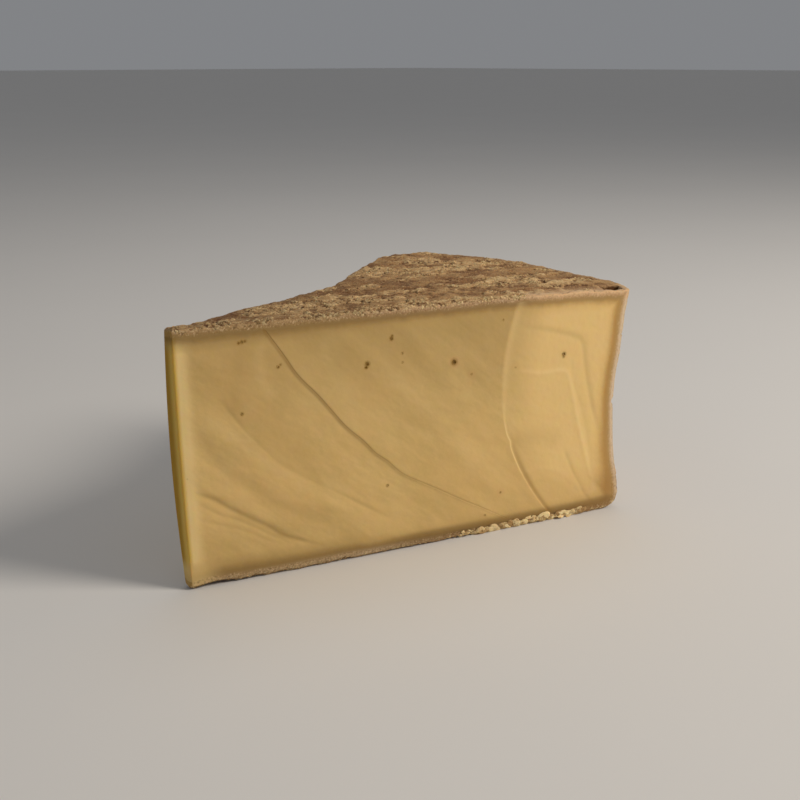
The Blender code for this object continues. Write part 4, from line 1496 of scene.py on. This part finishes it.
def crumbTree():
    sizes = {name: value for name, value in crumbKinds["rindGrains"].items() if not isinstance(value, tuple)}
    tree, given = newTree("crumbScatter", sizes)
    seed = given["Seed"]
    density = times(tree, given["Density"], named(tree, "scatter"))
    spread = addNode(tree, "GeometryNodeDistributePointsOnFaces",
                     {"Mesh": given["Geometry"], "Density": density, "Seed": seed}).outputs
    points = store(tree, spread["Points"], "tone", randomValue(tree, 0.0, 1.0, seed))
    luck = randomValue(tree, 0.0, 1.0, sums(tree, "ADD", seed, 7))
    luck = sums(tree, "POWER", luck, crumbShape["smallness"])
    span = less(tree, given["Largest"], given["Smallest"])
    size = sums(tree, "MULTIPLY_ADD", luck, span, given["Smallest"])
    stretch = randomValue(tree, *crumbShape["sides"], seed)
    low = outOf(tree, "ShaderNodeCombineXYZ", {0: given["Stretch"], 1: 1.0, 2: given["Flatness"]})
    shape = scaled(tree, vectorSum(tree, "MULTIPLY", stretch, low), size)
    # turned about its own middle, away from the way the cut runs
    ahead = outOf(tree, "FunctionNodeAlignRotationToVector",
                  {"Rotation": spread["Rotation"], "Vector": cutWay}, axis="X", pivot_axis="Z")
    spin = times(tree, randomValue(tree, -0.5, 0.5, sums(tree, "ADD", seed, 3)), given["Spin"])
    turn = outOf(tree, "FunctionNodeAxisAngleToRotation", {"Axis": (0.0, 0.0, 1.0), "Angle": spin})
    facing = outOf(tree, "FunctionNodeRotateRotation", {0: ahead, 1: turn}, rotation_space="LOCAL")
    ball = outOf(tree, "GeometryNodeMeshIcoSphere", {"Radius": 0.5, "Subdivisions": given["Rounds"]})
    put = outOf(tree, "GeometryNodeInstanceOnPoints",
                {"Points": points, "Instance": ball, "Rotation": facing, "Scale": shape})
    real = outOf(tree, "GeometryNodeRealizeInstances", {"Geometry": put})
    # then each is torn out of round
    place = outOf(tree, "GeometryNodeInputPosition")
    tearSize = times(tree, given["Smallest"], crumbShape["tearSize"])
    shake = noiseAt(tree, place, tearSize, *crumbShape["tear"])[1]
    centred = vectorSum(tree, "SUBTRACT", shake, (0.5, 0.5, 0.5))
    offset = scaled(tree, centred, times(tree, given["Ragged"], given["Largest"]))
    torn = outOf(tree, "GeometryNodeSetPosition", {"Geometry": real, "Offset": offset})
    endTree(tree, torn, given["Material"])
    return tree


crumbLook = {
    "shader": {
        "Roughness": 0.8,
        "Specular IOR Level": 0.25,
        "Subsurface Weight": 0.3,
        "Subsurface Radius": (1.0, 0.6, 0.35),
        "Subsurface Scale": 0.0008,
    },
    "speck": (0.6 * mm, 2.0, 0.6),
    "speckShare": 0.9,
    "bump": (0.4, 0.2 * mm),
}


def crumbMaterial(name, dark, light):
    material, tree, shader, place = newMaterial(name, crumbLook["shader"])
    speck = noiseAt(tree, place, *crumbLook["speck"])[0]
    mixed = sums(tree, "MULTIPLY_ADD", less(tree, speck, 0.5), crumbLook["speckShare"], read(tree, "tone"))
    colour = blendColour(tree, ramp(tree, mixed, 0.0, 1.0), dark, light)
    # the crumbs take the rind's painted light too
    tree.links.new(scaled(tree, colour, paintedLightAlong(tree, place)), shader.inputs["Base Color"])
    roughSkin(tree, shader, speck, *crumbLook["bump"])
    return material


# where the crumbs lie: lengths in metres, and gaps and depths that the rind carries in millimetres
crumbPlaces = {
    "clumpSize": 11.0 * mm,
    "clumps": (-0.05, 0.35),
    "skinDepth": 0.2,
    "nearSkin": (2.2, 0.8),
    "edgeGap": 2.4,
    "edgeThickens": (60.0 * mm, 110.0 * mm),
    "edgeEnds": (202.0 * mm, 210.0 * mm),        # the rind's edge is clean towards the heel
    "footGap": 1.5,
    "footFrom": (158.0 * mm, 198.0 * mm),
    "footTo": (250.0 * mm, 258.0 * mm),
    "footLow": (0.5 * mm, 1.2 * mm),
    "footHigh": (3.6 * mm, 2.6 * mm),
    # the outline against the far side stays smooth, and the dent stays empty
    "backClear": (2.0, 7.0),
    "noseClear": (1.0 * mm, 8.0 * mm),
    "dentClear": (9.0 * mm, 13.0 * mm),
}


def crumbWeights(mesh):
    where = crumbPlaces
    s, n, z = toCutFrame(pointsOf(mesh))
    top, heel, foot = (getAttribute(mesh, side) for side in ("topSide", "heelSide", "footSide"))
    flaky, gap, depth, back = (getAttribute(mesh, name) for name in ("crust", "edgeGap", "depth", "backGap"))
    clumps = smoothStep(*where["clumps"], fractal(np.stack([s, n, z], -1), where["clumpSize"], 3))
    onSkin = depth < where["skinDepth"]
    nearEdge = bump(gap, where["edgeGap"]) * smoothStep(*where["nearSkin"], depth)
    topEdge = top * nearEdge * (0.35 + 0.65 * smoothStep(*where["edgeThickens"], s))
    topEdge = topEdge * (1 - smoothStep(*where["edgeEnds"], s))
    flaked = smoothStep(*where["footFrom"], s) * (1 - smoothStep(*where["footTo"], s))
    footRow = smoothStep(*where["footLow"], z) * smoothStep(*where["footHigh"], z)
    footRow = bump(gap, where["footGap"]) * footRow
    fromDent = np.hypot(s - flatRinds["dentS"], 1.5 * (n - flatRinds["dentN"]))
    clear = smoothStep(*where["backClear"], back) * smoothStep(*where["noseClear"], s)
    clear = clear * smoothStep(*where["dentClear"], fromDent)
    return {
        "crustFlakes": flaky * clumps * (top + 0.35 * heel + 0.15 * foot) * onSkin * clear,
        "rindGrains": (0.35 + 0.65 * clumps) * (top + 0.5 * heel + 0.15 * foot) * onSkin * clear,
        "edgeCrumbs": (topEdge + 0.6 * foot * nearEdge) * (0.15 + 0.85 * clumps),
        "footFlakes": footRow * flaked * (0.5 + 0.5 * clumps),
    }


def makeCrumbs(rind):
    tree = crumbTree()
    weights = crumbWeights(rind.data)
    made = []
    for name, kind in crumbKinds.items():
        piece = newPiece(name, rind.data.copy())
        setAttribute(piece.data, "scatter", weights[name])
        finish = crumbMaterial(name + "Finish", kind["dark"], kind["light"])
        runTree(piece, tree, {**kind, "Material": finish})
        bakeModifiers(piece)
        keepInBox(piece.data)
        print(name + ":", len(piece.data.polygons), "faces")
        made.append(piece)
    return made


# Floor, lights and camera

studio = {
    "floorSize": 60.0,
    "floorColour": (0.72, 0.70, 0.67, 1.0),
    "floorMottle": (0.35, 4.0, 0.5),
    "floorDarker": 0.96,
    "worldColour": (0.86, 0.88, 0.92, 1.0),
    "worldStrength": 0.26,
    "lights": (
        {"name": "keyLight", "azimuth": 76.0, "height": 36.0, "distance": 2.4, "size": 0.9, "power": 40.0,
         "colour": (1.0, 0.93, 0.84)},
        {"name": "topLight", "azimuth": 170.0, "height": 70.0, "distance": 1.6, "size": 1.0, "power": 3.0,
         "colour": (1.0, 0.95, 0.9)},
    ),
}

camera = {
    "place": (-438.2 * mm, -470.8 * mm, 275.3 * mm),
    "heading": -44.13,
    "lookDown": 17.01,
    "lens": 49.995,
    "sensor": 36.0,
    "nearest": 0.01,
}


def floorMaterial():
    material, tree, shader, place = newMaterial("paleFloor", {"Roughness": 0.7, "Specular IOR Level": 0.2})
    mottle = noiseAt(tree, place, *studio["floorMottle"])[0]
    base = studio["floorColour"]
    darker = (*(studio["floorDarker"] * c for c in base[:3]), 1.0)
    tree.links.new(blendColour(tree, mottle, base, darker), shader.inputs["Base Color"])
    return material


def makeFloor():
    bm = bmesh.new()
    bmesh.ops.create_grid(bm, x_segments=8, y_segments=8, size=studio["floorSize"] / 2)
    mesh = bpy.data.meshes.new("floor")
    bm.to_mesh(mesh)
    bm.free()
    mesh.materials.append(floorMaterial())
    floor = newPiece("floor", mesh)
    print("floor:", studio["floorSize"], "metres wide")


def makeLights():
    middle = Vector((0, 0, wheel["height"] / 2))
    for light in studio["lights"]:
        data = bpy.data.lights.new(light["name"], "AREA")
        data.shape = "DISK"
        data.size = light["size"]
        data.energy = light["power"]
        data.color = light["colour"]
        # azimuth is measured from where the camera stands, to its right
        azimuth = math.radians(camera["heading"] - 90 + light["azimuth"])
        height = math.radians(light["height"])
        level = math.cos(height)
        away = Vector((math.cos(azimuth) * level, math.sin(azimuth) * level, math.sin(height)))
        lamp = newPiece(light["name"], data)
        lamp.location = middle + light["distance"] * away
        lamp.rotation_euler = away.to_track_quat("Z", "Y").to_euler()
    world = bpy.data.worlds.new("studioWorld")
    world.use_nodes = True
    background = world.node_tree.nodes["Background"]
    background.inputs["Color"].default_value = studio["worldColour"]
    background.inputs["Strength"].default_value = studio["worldStrength"]
    bpy.context.scene.world = world
    print("lights:", len(studio["lights"]))


def makeCamera():
    data = bpy.data.cameras.new("photoCamera")
    data.lens = camera["lens"]
    data.sensor_width = camera["sensor"]
    data.clip_start = camera["nearest"]
    shot = newPiece("photoCamera", data)
    shot.matrix_world = (Matrix.Translation(camera["place"])
                         @ Matrix.Rotation(math.radians(camera["heading"]), 4, "Z")
                         @ Matrix.Rotation(math.radians(90 - camera["lookDown"]), 4, "X"))
    bpy.context.scene.camera = shot
    print("camera:", camera["lens"], "mm lens")


makeCamera()
makeLights()
makeFloor()
bpy.context.scene.view_settings.view_transform = "Standard"
bpy.context.scene.view_settings.look = "None"

paste = makePaste()
rind = makeRind()
crumbs = makeCrumbs(rind)

for piece in (paste, rind, *crumbs):
    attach(piece, "root")
    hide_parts("cheese_wedge")
